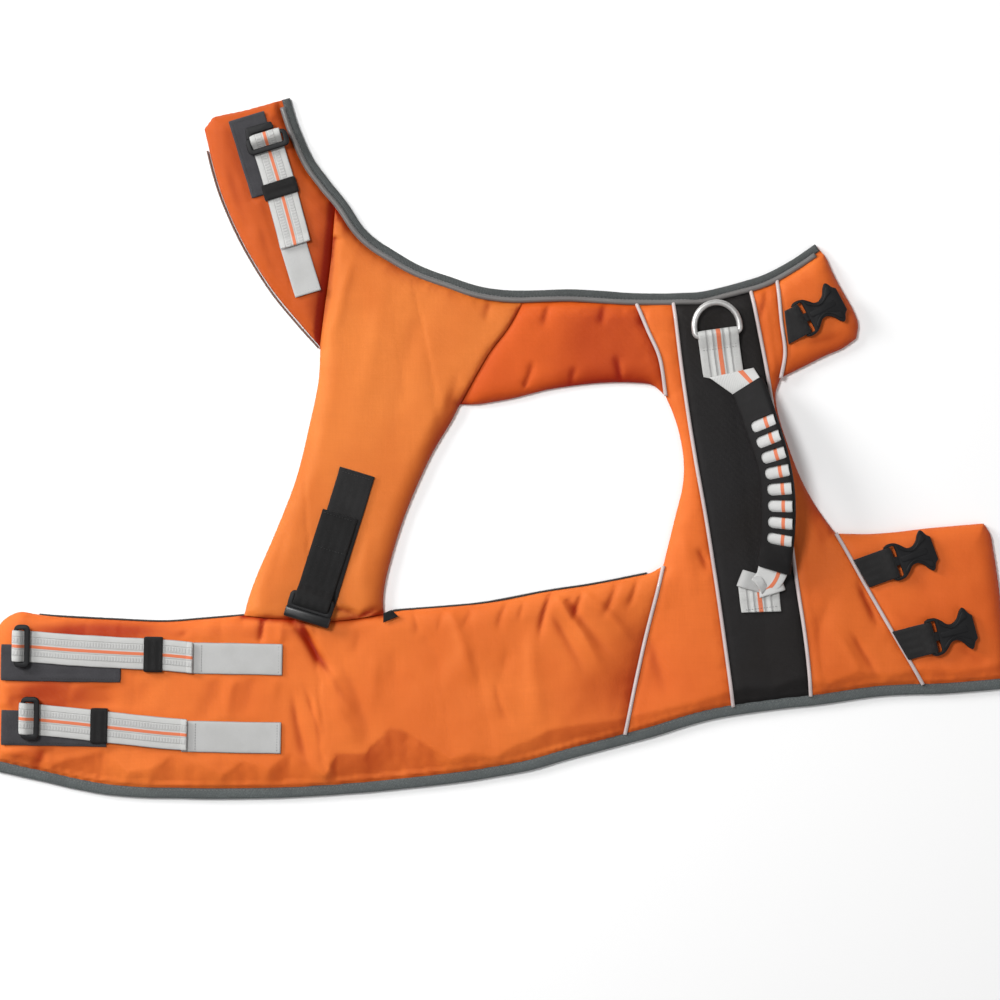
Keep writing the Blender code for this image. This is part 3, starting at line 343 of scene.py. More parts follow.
def ribbed_tape(name, colour, rib=1.35, roughness=0.68):
    """Woven tape with ribs across it, speckled by its light threads."""
    finish = Finish(name, sheen=0.15, specular=0.35)
    across, along, _ = finish.strip()
    place = finish.place()
    speckle = finish.noise(place, 900.0, 2.0, 0.6)
    wear = finish.noise(place, 38.0, 4.0, 0.6)
    ribs = wave(along + across * 0.35, rib * MM) * 0.5 + 0.5
    shade = finish.mix(ribs * 0.24 + finish.step(speckle, 0.45, 0.72) * 0.35,
                       tinted(colour, 0.72), tinted(colour, 1.75))
    shade = finish.mix(finish.step(wear, 0.38, 0.72) * 0.35, shade, tinted(colour, 0.62))
    height = ribs + speckle * 0.8 + wave(across, 1.1 * MM) * 0.25
    return finish.dressed(shade, roughness - 0.08 + 0.18 * wear, height, 0.00028, 0.7)


def reflective_cord(name, colour):
    """Piping with a glass-bead sheen and a fine twist."""
    finish = Finish(name, sheen=0.25, coat=0.15, specular=0.6)
    across, along, _ = finish.strip()
    place = finish.place()
    beads = finish.noise(place, 1500.0, 1.0, 0.5)
    age = finish.noise(place, 30.0, 4.0, 0.6)
    twist = wave(along + across * 0.6, 1.5 * MM) * 0.5 + 0.5
    shade = finish.mix(finish.step(age, 0.35, 0.75) * 0.55, colour, tinted(colour, 0.62, 0.60, 0.62))
    shade = finish.mix(twist * 0.22, shade, tinted(colour, 1.35))
    return finish.dressed(shade, 0.34 + 0.24 * age + 0.08 * beads, twist * 0.6 + beads * 0.5, 0.00020, 0.6)


def striped_web(name, colour, stripe=None, pattern="ribs", half_stripe=1.25):
    """Light webbing. Its stripe lies on its middle line. Beside it are ribs or dark bands, or nothing."""
    finish = Finish(name, sheen=0.2, specular=0.4)
    across, along, _ = finish.strip()
    place = finish.place()
    wear = finish.noise(place, 45.0, 4.0, 0.62)
    speckle = finish.noise(place, 700.0, 2.0, 0.6)
    ticks = wave(along, 2.3 * MM) * 0.5 + 0.5
    fine = wave(along + across * 0.5, 0.9 * MM) * 0.5 + 0.5
    shade = finish.mix(fine * 0.20 + speckle * 0.18, colour, tinted(colour, 0.66, 0.66, 0.67))
    shade = finish.mix(finish.step(wear, 0.36, 0.74) * 0.30, shade, tinted(colour, 0.74, 0.73, 0.72))
    height = fine * 0.5 + speckle * 0.4

    def twin(middle, half, soft):
        """Two lines along the webbing, this far to either side of its middle, millimetres."""
        return finish.band(across.size() - middle * MM, half * MM, soft * MM)

    if pattern == "ribs":       # painted shadow: the selvedges are painted darker, as shade along the strap's edges
        shade = finish.mix(finish.step(across.size(), 11.7 * MM, 12.3 * MM) * 0.5, shade,
                           tinted(colour, 0.25, 0.24, 0.24))
    if stripe and pattern == "bands":
        bands = twin(4.1, 0.8, 0.9) + twin(9.4, 0.7, 0.9)
        shade = finish.mix(bands * (0.25 + 0.50 * wear), shade, tinted(colour, 0.40, 0.39, 0.40))
        shade = finish.mix(twin(6.6, 1.2, 1.0) * 0.6, shade, tinted(colour, 1.25))
        height = height - bands * 2.2 + ticks * 0.3
    elif stripe and pattern == "ribs":
        ribs = twin(5.2, 1.7, 0.5)
        grooves = twin(2.5, 0.28, 0.3) + twin(7.6, 0.28, 0.3)
        shade = finish.mix(ribs * (0.10 + 0.30 * ticks * (0.4 + wear)), shade,
                           tinted(colour, 0.56, 0.55, 0.57))
        shade = finish.mix(grooves * 0.28, shade, tinted(colour, 0.50, 0.49, 0.49))
        height = height + ribs * ticks * 1.3 - grooves * 1.4
    if stripe:
        line = finish.band(across, half_stripe * MM, 0.35 * MM)
        shade = finish.mix(line * 0.95, shade, finish.mix(fine * 0.35, stripe, tinted(stripe, 0.8, 0.6, 0.5)))
        height = height + line * 0.7
    return finish.dressed(shade, 0.54 + 0.2 * wear, height, 0.00030, 0.75)


def dark_web(name, colour, pitch=1.15, sheen=0.12):
    """Plain dark webbing with a close herringbone."""
    finish = Finish(name, sheen=sheen, specular=0.25)
    across, along, _ = finish.strip()
    place = finish.place()
    wear = finish.noise(place, 60.0, 4.0, 0.6)
    speckle = finish.noise(place, 900.0, 2.0, 0.6)
    zigzag = wave(along + wave(across, 6.2 * MM) * (1.1 * MM), pitch * MM) * 0.5 + 0.5
    shade = finish.mix(zigzag * 0.5 + speckle * 0.3, colour, tinted(colour, 2.1, 2.1, 2.15))
    shade = finish.mix(finish.step(wear, 0.34, 0.74) * 0.4, shade, tinted(colour, 0.7))
    return finish.dressed(shade, 0.62 + 0.2 * wear, zigzag + speckle * 0.6, 0.00028, 0.7)


def moulded(name, colour, roughness=0.44, grain=0.5, specular=0.22):
    """Moulded plastic or rubber with a fine spark-eroded grain and handling marks."""
    finish = Finish(name, specular=specular)
    place = finish.place()
    sand = finish.noise(place, 1600.0, 2.0, 0.6)
    marks = finish.noise(place, 70.0, 5.0, 0.65)
    shade = finish.mix(finish.step(marks, 0.45, 0.75) * 0.6, colour, tinted(colour, 1.9, 1.9, 1.95))
    height = sand + marks * 0.5
    return finish.dressed(shade, roughness - 0.06 + 0.22 * marks + 0.05 * sand, height, 0.00010, grain)


def nickel(name, colour):
    """Plated steel wire, brushed along itself, with small scuffs."""
    finish = Finish(name, metallic=0.75, specular=0.6)
    place = finish.place()
    brushed = finish.noise(finish.stretch(place, (1.0, 1.0, 9.0)), 420.0, 3.0, 0.6)
    scuffs = finish.noise(place, 130.0, 5.0, 0.7)
    shade = finish.mix(finish.step(scuffs, 0.48, 0.72) * 0.5, colour, tinted(colour, 0.62, 0.60, 0.57))
    height = brushed * 0.5 + scuffs * 0.4
    return finish.dressed(shade, 0.30 + 0.18 * scuffs + 0.06 * brushed, height, 0.00006, 0.5)


def pale_floor(name, colour):
    finish = Finish(name, roughness=0.85, specular=0.1)
    clouds = finish.noise(finish.place(), 2.0, 2.0)
    finish.set("Base Color", finish.mix(clouds * 0.04, colour, tinted(colour, 0.97)))
    return finish.material


PAINTED_PANEL_LIGHT = {
    # painted light: each orange panel's cloth painted lighter or darker, as the light falls on it
    "orange wing_left": (0.74, 0.66, 0.54), "orange chest_panel": (1.02, 1.42, 1.60),
    "orange neck_band": (0.95, 0.78, 0.64), "orange back_left": (1.07, 1.12, 1.14),
    "orange back_right": (0.99, 1.02, 0.98), "orange wing_right": (1.05, 1.08, 1.05),
    "orange belly_left": (1.09, 1.28, 1.38), "orange belly_right": (1.05, 1.04, 1.04),
}


@cache
def finish_of(name):
    """The material of that name, made the first time it is asked for."""
    c = {key: tuple(getattr(colours(), key)) for key in JacketColours.__annotations__}
    light, dark, stripe = c["webbing"], c["black_web"], c["stripe"]
    makers = {
        # the black panel's nylon, with painted shade and painted highlight copies of its colour
        "centre nylon": (nylon, c["centre"], tinted(c["centre"], 0.4), tinted(c["centre"], 1.5),
                         (1, 1, 1), 0.5),
        "neck binding": (ribbed_tape, tinted(c["binding"], 0.72, 0.70, 0.69)),
        "binding": (ribbed_tape, c["binding"]),
        "edging": (ribbed_tape, tinted(c["binding"], 0.5, 0.46, 0.45)),
        "wing edging": (ribbed_tape, tinted(c["binding"], 1.9, 0.95, 0.70)),
        "piping": (reflective_cord, c["reflective"]),
        "neck piping": (reflective_cord, tinted(c["reflective"], 0.25, 0.28, 0.28)),
        "striped webbing": (striped_web, light, stripe),
        "ring webbing": (striped_web, light, stripe, "bands", 1.75),
        "handle webbing": (striped_web, tinted(light, 1.12, 1.12, 1.13), stripe, None, 1.5),
        "plain webbing": (striped_web, tinted(light, 0.90, 0.90, 0.91)),
        "base tape": (dark_web, c["base_tape"]),
        "black webbing": (dark_web, dark),
        "black strap": (dark_web, tinted(dark, 0.6), 1.15, 0.03),
        "elastic": (dark_web, tinted(dark, 0.7), 0.8, 0.03),
        "grey thread": (dark_web, (0.13, 0.135, 0.135), 0.5),
        "black thread": (dark_web, (0.03, 0.03, 0.03), 0.5),
        "plastic": (moulded, c["plastic"]),
        "gloss plastic": (moulded, c["plastic"], 0.26, 0.3, 0.5),
        "grip": (moulded, c["rubber"], 0.6, 0.9, 0.16),
        "nickel": (nickel, c["metal"]),
        "floor": (pale_floor, c["floor"]),
    }
    maker, *values = makers.get(name) or (nylon, c["shell"], c["shell_fold"], c["shell_crest"], PAINTED_PANEL_LIGHT[name])
    return maker(name, *values)


# Plan curves: arrays of (x, y) rows in metres

def smooth_line(rows, step):
    """A Catmull-Rom curve through the rows, at equal steps."""
    rows = np.asarray(rows, float)
    ends = np.vstack([2 * rows[0] - rows[1], rows, 2 * rows[-1] - rows[-2]])
    t = np.linspace(0, 1, 24, endpoint=False)[:, None]
    parts = []
    for a, b, c, d in zip(ends, ends[1:], ends[2:], ends[3:]):
        parts.append(0.5 * (2 * b + (c - a) * t + (2 * a - 5 * b + 4 * c - d) * t * t
                            + (3 * b - a - 3 * c + d) * t ** 3))
    return stepped(np.vstack([*parts, rows[-1:]]), step)


def lengths(points):
    return np.concatenate([[0.0], np.cumsum(np.linalg.norm(np.diff(points, axis=0), axis=1))])


def stepped(points, step):
    """The same line, at equal steps."""
    along = lengths(points)
    count = max(2, int(round(along[-1] / step)))
    spots = np.linspace(0, along[-1], count + 1)
    return np.stack([np.interp(spots, along, points[:, k]) for k in range(points.shape[1])], axis=1)


def leftward(points):
    """Unit vectors to the left of a plan line, at its points."""
    slope = np.gradient(points[:, :2], axis=0)
    slope /= np.linalg.norm(slope, axis=1)[:, None]
    return np.stack([-slope[:, 1], slope[:, 0]], axis=1)


def ring_leftward(ring):
    """The same for a closed ring."""
    return leftward(np.vstack([ring[-1:], ring, ring[:1]]))[1:-1]


def left_of(along):
    return np.array([-along[1], along[0]])


class Trail:
    """Points at close steps, to ask how far others lie from them and how far along."""

    def __init__(self, points):
        self.points = np.asarray(points, float)
        self.along = lengths(self.points)
        self.tree = KDTree(len(self.points))
        for k, (x, y) in enumerate(self.points):
            self.tree.insert((x, y, 0.0), k)
        self.tree.balance()

    def near(self, spots):
        """Each spot's distance from the line, and how far along the line it is."""
        found = [self.tree.find((x, y, 0.0)) for x, y in spots]
        return np.array([f[2] for f in found]), self.along[[f[1] for f in found]]


def smooth_step(t):
    t = np.clip(t, 0.0, 1.0)
    return t * t * (3 - 2 * t)


def swelling(t):
    """A quarter of an ellipse, from 0 at an edge to 1."""
    t = np.clip(t, 0.0, 1.0)
    return np.sqrt(np.maximum(0.0, 1 - (1 - t) ** 2))


def soft_noise(x, y, scale, seed):
    """Smooth noise from -1 to 1 with hollows about scale apart. Its lattice repeats after 96 cells."""
    lattice = np.random.RandomState(seed).uniform(-1, 1, (97, 97))
    u, v = x / scale + 40.3, y / scale + 40.7
    i, j = np.floor(u).astype(int), np.floor(v).astype(int)
    a, b = smooth_step(u - i), smooth_step(v - j)
    i, j = i % 96, j % 96
    low = lattice[i, j] * (1 - a) + lattice[i + 1, j] * a
    high = lattice[i, j + 1] * (1 - a) + lattice[i + 1, j + 1] * a
    return low * (1 - b) + high * b


# Outlines of the panels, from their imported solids

PANELS = ("wing_left", "chest_panel", "neck_band", "back_left", "back_centre", "back_right",
          "wing_right", "belly_left", "belly_right")
RIM_HEIGHT = 1.3 * MM           # of the ring of points round a packed panel
CORNER = math.radians(38)       # a rim that turns more than this at a point has a corner there
BOUND, SEWN = 2.2 * MM, 1.3 * MM    # nearer than this a rim is under a tape, or sewn to another panel
LEAST_SEAM = 6                  # points that a seam has at least


def rim_of(name):
    """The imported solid's rim as a closed ring of plan points, anticlockwise."""
    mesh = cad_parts[name].data
    keys = [tuple(round(c, 5) for c in v.co) for v in mesh.vertices]
    links = {}
    for edge in mesh.edges:
        a, b = (keys[i] for i in edge.vertices)
        if a != b and abs(a[2] - RIM_HEIGHT) < 4e-5 and abs(b[2] - RIM_HEIGHT) < 4e-5:
            links.setdefault(a, set()).add(b)
            links.setdefault(b, set()).add(a)
    start = min(links)
    ring, before = [start], None
    while True:
        after = [p for p in sorted(links[ring[-1]]) if p != before]
        before = ring[-1]
        if after[0] == start or len(ring) > len(links):
            break
        ring.append(after[0])
    ring = np.array(ring)[:, :2]
    area = np.sum(ring[:, 0] * np.roll(ring[:, 1], -1) - ring[:, 1] * np.roll(ring[:, 0], -1))
    return ring if area > 0 else ring[::-1]


def fine_rim(name, step):
    """The rim made smooth between its corners, at equal steps."""
    ring = rim_of(name)
    before = ring - np.roll(ring, 1, axis=0)
    after = np.roll(ring, -1, axis=0) - ring
    turn = np.arctan2(before[:, 0] * after[:, 1] - before[:, 1] * after[:, 0],
                      (before * after).sum(axis=1))
    corners = [k for k in range(len(ring)) if abs(turn[k]) > CORNER] or [0]
    ring = np.roll(ring, -corners[0], axis=0)
    spots = [k - corners[0] for k in corners] + [len(ring)]
    ring = np.vstack([ring, ring[:1]])
    return np.vstack([smooth_line(ring[a : b + 1], step)[:-1] for a, b in zip(spots, spots[1:])])


class Plan:
    """The laid-out jacket in plan: each panel's rim, and which stretches are seams, bound or free."""

    def __init__(self):
        step = sizes().shell_step
        self.neck = smooth_line(np.array(NECK_EDGE) * MM, 1.0 * MM)
        swell = np.interp(self.neck[:, 0] / MM, *np.array(NECK_SWELL).T) * MM
        self.neck_tape = self.neck + leftward(self.neck) * swell[:, None]
        self.hem = smooth_line(np.array(HEM_EDGE) * MM, 1.0 * MM)
        self.neck_trail, self.hem_trail = Trail(self.neck), Trail(self.hem)
        self.rims = {name: fine_rim(name, step) for name in PANELS}
        trails = {name: Trail(fine_rim(name, 0.8 * MM)) for name in PANELS}
        self.seams, free = {}, []
        for name in PANELS:
            fine = trails[name].points
            bound = np.minimum(self.neck_trail.near(fine)[0], self.hem_trail.near(fine)[0]) < BOUND
            sewn = np.zeros(len(fine), bool)
            for other in PANELS:
                if other == name:
                    continue
                close = trails[other].near(fine)[0] < SEWN
                if close.sum() > LEAST_SEAM:
                    self.seams[name, other] = Trail(fine[close])
                sewn |= close
            free.append(fine[~bound & ~sewn])
        self.free = Trail(np.vstack(free))
        self.pressed = [footprint(node) for node in PRESSED]


def footprint(node):
    """Middle, direction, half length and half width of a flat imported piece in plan."""
    spots = np.array([v.co[:2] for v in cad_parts[node].data.vertices])
    spots = np.unique(np.round(spots, 5), axis=0)
    best = None
    for angle in np.radians(np.arange(0, 180, 1.0)):
        along = np.array([math.cos(angle), math.sin(angle)])
        left = left_of(along)
        s, t = spots @ along, spots @ left
        length, width = s.max() - s.min(), t.max() - t.min()
        if best is None or length * width < best[0]:
            middle = along * (s.max() + s.min()) / 2 + left * (t.max() + t.min()) / 2
            best = (length * width, middle, along, length / 2, width / 2)
    return best[1:]


# Height of the padding

SEAM_DIPS = {
    # panel and neighbour: depth and width of the rounding beside their seam, millimetres
    ("wing_left", "chest_panel"): (6.2, 15.0), ("chest_panel", "wing_left"): (3.4, 9.0),
    ("neck_band", "chest_panel"): (4.0, 14.0), ("chest_panel", "neck_band"): (2.2, 7.0),
    ("belly_left", "chest_panel"): (5.0, 9.0), ("chest_panel", "belly_left"): (3.0, 9.0),
}
SEAM_DIP = (2.7, 9.0)           # of the other seams
NECK_TAPE, HEM_TAPE = 6.6, 7.4  # millimetres from the sewn edge to where the padding starts
PAINTED_SHADE_AREAS = {
    # panel: areas of painted shade, painted highlight where how much is below zero (x, y, half across, half
    # down, how much)
    "belly_left": ((-400, -200, 150, 90, 0.30), (-225, -200, 60, 60, 0.10), (78, -206, 64, 42, 0.18),
                   (-250, -138, 170, 17, 0.34), (-60, -122, 110, 14, 0.20), (-322, -147, 66, 9, 0.55),
                   (-362, -197, 40, 22, 0.34), (-22, -186, 52, 48, -0.13), (50, -132, 50, 16, 0.16)),
    "wing_left": ((-215, 240, 40, 80, 0.26), (-150, 140, 22, 80, 0.22)),
    "chest_panel": ((-176, -60, 26, 90, 0.08),),
    "back_right": ((206, 92, 7, 46, 0.34),),
    "neck_band": ((92, 84, 64, 90, 0.44),),
}
# how much painted shade lies beside the neck's tape, and how loose a shell is on its foam
NECK_SHADE = {"chest_panel": 0.42, "back_left": 0.12, "back_right": 0.15}
LOOSENESS = {"back_centre": 0.35, "chest_panel": 0.8, "neck_band": 0.6, "belly_left": 1.15}
OVERRUN = 0.15                  # share of its length by which a crease fades out past its ends


def crease_heights(x, y, rows):
    """Sum of the troughs and ridges of a table, and the painted shade of its troughs alone."""
    total, painted_trough_shade = np.zeros(len(x)), np.zeros(len(x))
    for x0, y0, x1, y1, half, height, is_open in rows:
        along = np.array([x1 - x0, y1 - y0])
        length = np.linalg.norm(along)
        along = along / length
        s = ((x - x0) * along[0] + (y - y0) * along[1]) / length
        # a slow bend keeps the crease from lying dead straight
        bend = 0.05 * length * np.sin(math.pi * np.clip(s, 0, 1)) * math.sin(x0 * 1.7 + y0)
        t = (x - x0) * -along[1] + (y - y0) * along[0] - bend
        width = half * (0.65 + 0.35 * smooth_step(s))
        start = 1.0 if is_open else smooth_step((s + OVERRUN) / 0.45)
        ends = np.where(s > -OVERRUN, start, 0.0) * smooth_step((1 + OVERRUN - s) / 0.55)
        rise = height * ends / (1 + (t / width) ** 2) ** 1.7
        total += rise
        # painted shade of a trough, less for a wide one
        if height < 0:
            painted_trough_shade -= rise * min(1.0, 8.0 / half)
    return total, painted_trough_shade


def unpressed(plan, spots):
    """1 where the padding is free, down to 0 under what lies flat on it."""
    free = np.ones(len(spots))
    for middle, along, half_length, half_width in plan.pressed:
        s = np.abs((spots - middle) @ along) - half_length
        t = np.abs((spots - middle) @ left_of(along)) - half_width
        outside = np.hypot(np.maximum(s, 0), np.maximum(t, 0))
        free = np.minimum(free, smooth_step(outside / (6 * MM)))
    return free


def hem_slope(plan, x, y, hem, along):
    """Beside the hem: how far up the slope a spot is, which share of the full height the padding has
    there, and 1 on the slope where it is long."""
    hem_x = plan.hem[np.clip(np.rint(along).astype(int), 0, len(plan.hem) - 1), 0] / MM
    reach = np.interp(hem_x + 1.6 * soft_noise(x, y, 9.0, 5), *np.array(HEM_REACH, float).T)
    climb = np.clip((hem - HEM_TAPE) / reach, 0, 1)
    share = np.minimum(swelling(climb * reach / 15) ** 0.9, 0.30 + 0.70 * (1 - (1 - climb) ** 1.35))
    sloped = smooth_step((1 - climb) / 0.14) * smooth_step((hem - 6) / 4) * np.clip((reach - 12) / 14, 0, 1)
    return climb, share, sloped


def beside(away, reach, start):
    """How strongly an edge puckers the cloth this far away from it: 0 on the edge and far from it."""
    return np.exp(-np.maximum(away, 0) / reach) * smooth_step(away / start)


def puckers(along, away, coarse, fine, share, seed):
    """Unevenness along an edge: coarse folds across it, and finer ones of a smaller share."""
    return soft_noise(along, 0.0, coarse, seed) + share * soft_noise(along, away, fine, seed + 2)


def slack(x, y, seed):
    """Low wandering waves of a shell that is looser than its foam, in millimetres."""
    return (0.95 * soft_noise(x + 9 * np.sin(y / 31), y * 0.7, 44.0, seed)
            + 0.48 * soft_noise(x, y * 0.7 + 5 * np.sin(x / 17), 21.0, seed + 1)
            + 0.14 * soft_noise(x, y, 10.0, seed + 2))


def padding(plan, name, spots):
    """Height of the panel's top at plan spots, in metres, and the painted shading of each one: painted shade
    above zero, painted highlight below.
    """
    size = sizes()
    seed = 11 + PANELS.index(name)
    x, y = spots[:, 0] / MM, spots[:, 1] / MM
    trails = (plan.free, plan.neck_trail, plan.hem_trail)
    (free, free_along), (neck, neck_along), (hem, hem_along) = (
        [values / MM for values in trail.near(spots)] for trail in trails)
    climb, hem_share, sloped = hem_slope(plan, x, y, hem, hem_along)
    rise = swelling(free * MM / size.pad_rounding) * swelling((neck - NECK_TAPE) / 13) ** 0.9 * hem_share
    edge = np.where(np.minimum(neck, hem) < 12, 3.5, 2.3)
    height = edge + (size.pad_height / MM - edge) * rise
    fold = np.zeros(len(x))
    for (panel, other), trail in plan.seams.items():
        if panel != name:
            continue
        near, along = (values / MM for values in trail.near(spots))
        depth, width = SEAM_DIPS.get((name, other), SEAM_DIP)
        height -= depth * (1 - swelling(near / width)) * np.clip(rise * 1.4, 0, 1)
        height += 0.34 * puckers(along, near, 6.5, 3.6, 0.6, seed + 3) * beside(near, 7.5, 1.5) * rise
        # painted shade in the dip beside these seams
        if (name, other) in SEAM_DIPS:
            fold += smooth_step(1 - near / (width * 0.55)) * min(1.0, depth / 6.5)
    for away, along, start in ((neck, neck_along, NECK_TAPE), (hem, hem_along, HEM_TAPE)):
        height += 0.42 * puckers(along, away, 6.0, 3.5, 0.5, seed + 7) * beside(away - start, 8, 2)
    height += 0.38 * soft_noise(free_along, free / 3, 9.0, seed + 13) * beside(free, 9, 2.5)
    crease, painted_trough_shade = crease_heights(x, y, CREASES)
    ruffle = sloped * (0.30 * soft_noise(x, y * 0.6, 8.0, 91) + 0.10 * soft_noise(x, y, 4.0, 92))
    waves = slack(x, y, seed) * LOOSENESS.get(name, 1.0)
    flat = unpressed(plan, spots)
    loose = size.crease_depth * (crease + ruffle + waves) * np.clip(rise * 1.15, 0, 1)
    height += loose * (0.12 + 0.88 * flat)
    height = np.where(flat < 0.999, np.minimum(height, 11.0 + 2.0 * flat), height)
    if name == "neck_band":     # its lower edge is thinner
        height -= 1.6 * smooth_step((118 - y) / 60) * rise
    # painted shade in the creases' troughs, less under what lies flat on the padding
    fold += 0.19 * size.crease_depth * painted_trough_shade * (0.2 + 0.8 * flat)
    # painted shade on the slopes that fall to the hem, patchy left of x = -140
    patchy_painted_shade = 0.8 * (0.62 + 0.38 * soft_noise(x * 0.5, y * 0.3, 18.0, 95))
    fold += 0.30 * sloped * (0.85 + 0.3 * climb) * np.where(x < -140, patchy_painted_shade, 1.0)
    # painted shade in the listed areas
    for middle_x, middle_y, across, down, amount in PAINTED_SHADE_AREAS.get(name, ()):
        fold += amount * smooth_step(1.25 - np.hypot((x - middle_x) / across, (y - middle_y) / down))
    # painted shade along the free edges, where the padding rounds down
    fold += 0.30 * np.exp(-free / 3.0) * (free < 12)
    # painted shade beside the neck's tape
    neck_shade = np.exp(-((neck - 6) / 11) ** 2) * (0.8 + 0.4 * soft_noise(x, y, 20.0, 97))
    fold += NECK_SHADE.get(name, 0.0) * neck_shade
    return np.maximum(height, 2.0) * MM, fold


# Meshes

def piece_of(name, mesh, material, body="jacket", sharp=None):
    """A smooth object of the mesh, riding on a body. sharp: the angle from which its edges are sharp."""
    mesh.materials.clear()
    mesh.materials.append(material)
    mesh.polygons.foreach_set("use_smooth", [True] * len(mesh.polygons))
    if sharp:
        mesh.set_sharp_from_angle(angle=math.radians(sharp))
    obj = bpy.data.objects.new(name, mesh)
    bpy.context.scene.collection.objects.link(obj)
    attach(obj, body)
    return obj


def mesh_piece(name, points, faces, material, **attributes):
    """A piece from points and faces, with its point attributes."""
    mesh = bpy.data.meshes.new(name)
    mesh.from_pydata([tuple(map(float, p)) for p in points], [], faces)
    for key, values in attributes.items():
        values = np.asarray(values, np.float32)
        kind, field = ("FLOAT", "value") if values.ndim == 1 else ("FLOAT_VECTOR", "vector")
        mesh.attributes.new(key, kind, "POINT").data.foreach_set(field, values.ravel())
    return piece_of(name, mesh, material)


def applied(obj):
    """A new mesh of the object with its curve's bevel or its modifiers applied."""
    bpy.context.view_layer.update()
    return bpy.data.meshes.new_from_object(obj.evaluated_get(bpy.context.evaluated_depsgraph_get()))


def curve_mesh(name, loops, **settings):
    """The mesh of a curve of closed loops, (x, y) rows in millimetres, with the curve's settings."""
    data = bpy.data.curves.new(name, "CURVE")
    for key, value in settings.items():
        setattr(data, key, value)
    for loop in loops:
        spline = data.splines.new("POLY")
        spline.use_cyclic_u = True
        spline.points.add(len(loop) - 1)
        for (x, y), point in zip(loop, spline.points):
            point.co = (x * MM, y * MM, 0.0, 1.0)
    guide = bpy.data.objects.new(name, data)
    bpy.context.scene.collection.objects.link(guide)
    mesh = applied(guide)
    bpy.data.objects.remove(guide)
    return mesh


def outward(obj):
    """Turns the mesh's faces outwards."""
    bm = bmesh.new()
    bm.from_mesh(obj.data)
    bmesh.ops.recalc_face_normals(bm, faces=bm.faces)
    if bm.calc_volume(signed=True) < 0:
        bmesh.ops.reverse_faces(bm, faces=bm.faces)
    bm.to_mesh(obj.data)
    bm.free()
    return obj


def inside(ring, spots):
    """Which spots lie inside the closed ring."""
    x, y = spots[:, 0], spots[:, 1]
    found = np.zeros(len(spots), bool)
    for (x0, y0), (x1, y1) in zip(ring, np.roll(ring, -1, axis=0)):
        if y0 == y1:
            continue
        crosses = (y0 > y) != (y1 > y)
        found ^= crosses & (x < x0 + (y - y0) * (x1 - x0) / (y1 - y0))
    return found


def shell_spots(ring, step):
    """Spots that fill the ring: rows close inside the rim, then a hexagonal field."""
    trail = Trail(np.vstack([ring, ring[:1]]))
    normal = ring_leftward(ring)
    rows = []
    for depth in (0.7 * MM, 1.7 * MM, 3.0 * MM):
        row = ring + normal * depth
        row = row[inside(ring, row)]
        rows.append(row[trail.near(row)[0] > depth * 0.93])
    low, high = ring.min(axis=0), ring.max(axis=0)
    dy = step * math.sqrt(3) / 2
    field = []
    for j, y in enumerate(np.arange(low[1] + dy, high[1], dy)):
        xs = np.arange(low[0] + (step / 2 if j % 2 else 0), high[0], step)
        field.append(np.stack([xs, np.full(len(xs), y)], axis=1))
    field = np.vstack(field)
    field = field[inside(ring, field)]
    field = field[trail.near(field)[0] > 3.0 * MM + step * 0.62]
    return np.vstack([*rows, field])


def slope_shade(flat, top, faces):
    """Painted shade and painted highlight by how far the surface leans away from the upper left, where the
    key light is; within 0.44.
    """
    points, faces = np.column_stack([flat, top]), np.array(faces)
    a, b, c = (points[faces[:, k]] for k in range(3))
    normals = np.cross(b - a, c - a)
    sums = np.zeros_like(points)
    for k in range(3):
        np.add.at(sums, faces[:, k], normals)
    sums /= np.linalg.norm(sums, axis=1)[:, None]
    lean = sums[:, 0] * 0.83 - sums[:, 1] * 0.40
    return 0.44 * np.tanh(lean * 3.0)


def panel_shell(plan, name, material):
    """The padded panel: its top, its flat underside and the wall between them."""
    ring = plan.rims[name]
    spots = np.vstack([ring, shell_spots(ring, sizes().shell_step)])
    outwards = -ring_leftward(ring)
    for (panel, _), trail in plan.seams.items():
        if panel == name:       # sewn edges meet
            close = trail.near(ring)[0] < 0.5 * MM
            spots[: len(ring)][close] = ring[close] + outwards[close] * 0.22 * MM
    vectors = [Vector(p) for p in spots]
    made = delaunay_2d_cdt(vectors, [], [list(range(len(ring)))], 1, 1e-6)
    flat = np.array([tuple(v) for v in made[0]])
    faces = [list(f) for f in made[2]]
    a, b, c = (flat[[f[k] for f in faces]] for k in range(3))
    turned = (b - a)[:, 0] * (c - a)[:, 1] - (b - a)[:, 1] * (c - a)[:, 0] < 0
    faces = [f[::-1] if back else f for f, back in zip(faces, turned)]
    used = sorted({k for f in faces for k in f})
    index = {k: i for i, k in enumerate(used)}
    flat = flat[used]
    faces = [[index[k] for k in f] for f in faces]
    top, fold = padding(plan, name, flat)
    # painted shade and painted highlight from the slope, added to the rest
    fold = np.clip(fold + slope_shade(flat, top, faces), -1, 1)
    edge, _ = Trail(np.vstack([ring, ring[:1]])).near(flat)
    low = (0.25 + 1.0 * np.exp(-edge / (2.2 * MM))) * MM
    count = len(flat)
    points = np.vstack([np.column_stack([flat, top]), np.column_stack([flat, low])])
    sides = dict.fromkeys((f[k], f[(k + 1) % 3]) for f in faces for k in range(3))
    walls = [(j, i, i + count, j + count) for i, j in sides if (j, i) not in sides]
    faces = faces + [[k + count for k in f[::-1]] for f in faces] + walls
    # the top carries the painted shading, the flat underside none
    return mesh_piece(name, points, faces, material, fold=np.concatenate([fold, fold * 0]))


# Strips, tapes and cords

def tube_faces(n, m):
    """Faces between n rings of m points each."""
    return [(i * m + k, i * m + (k + 1) % m, (i + 1) * m + (k + 1) % m, (i + 1) * m + k)
            for i in range(n - 1) for k in range(m)]


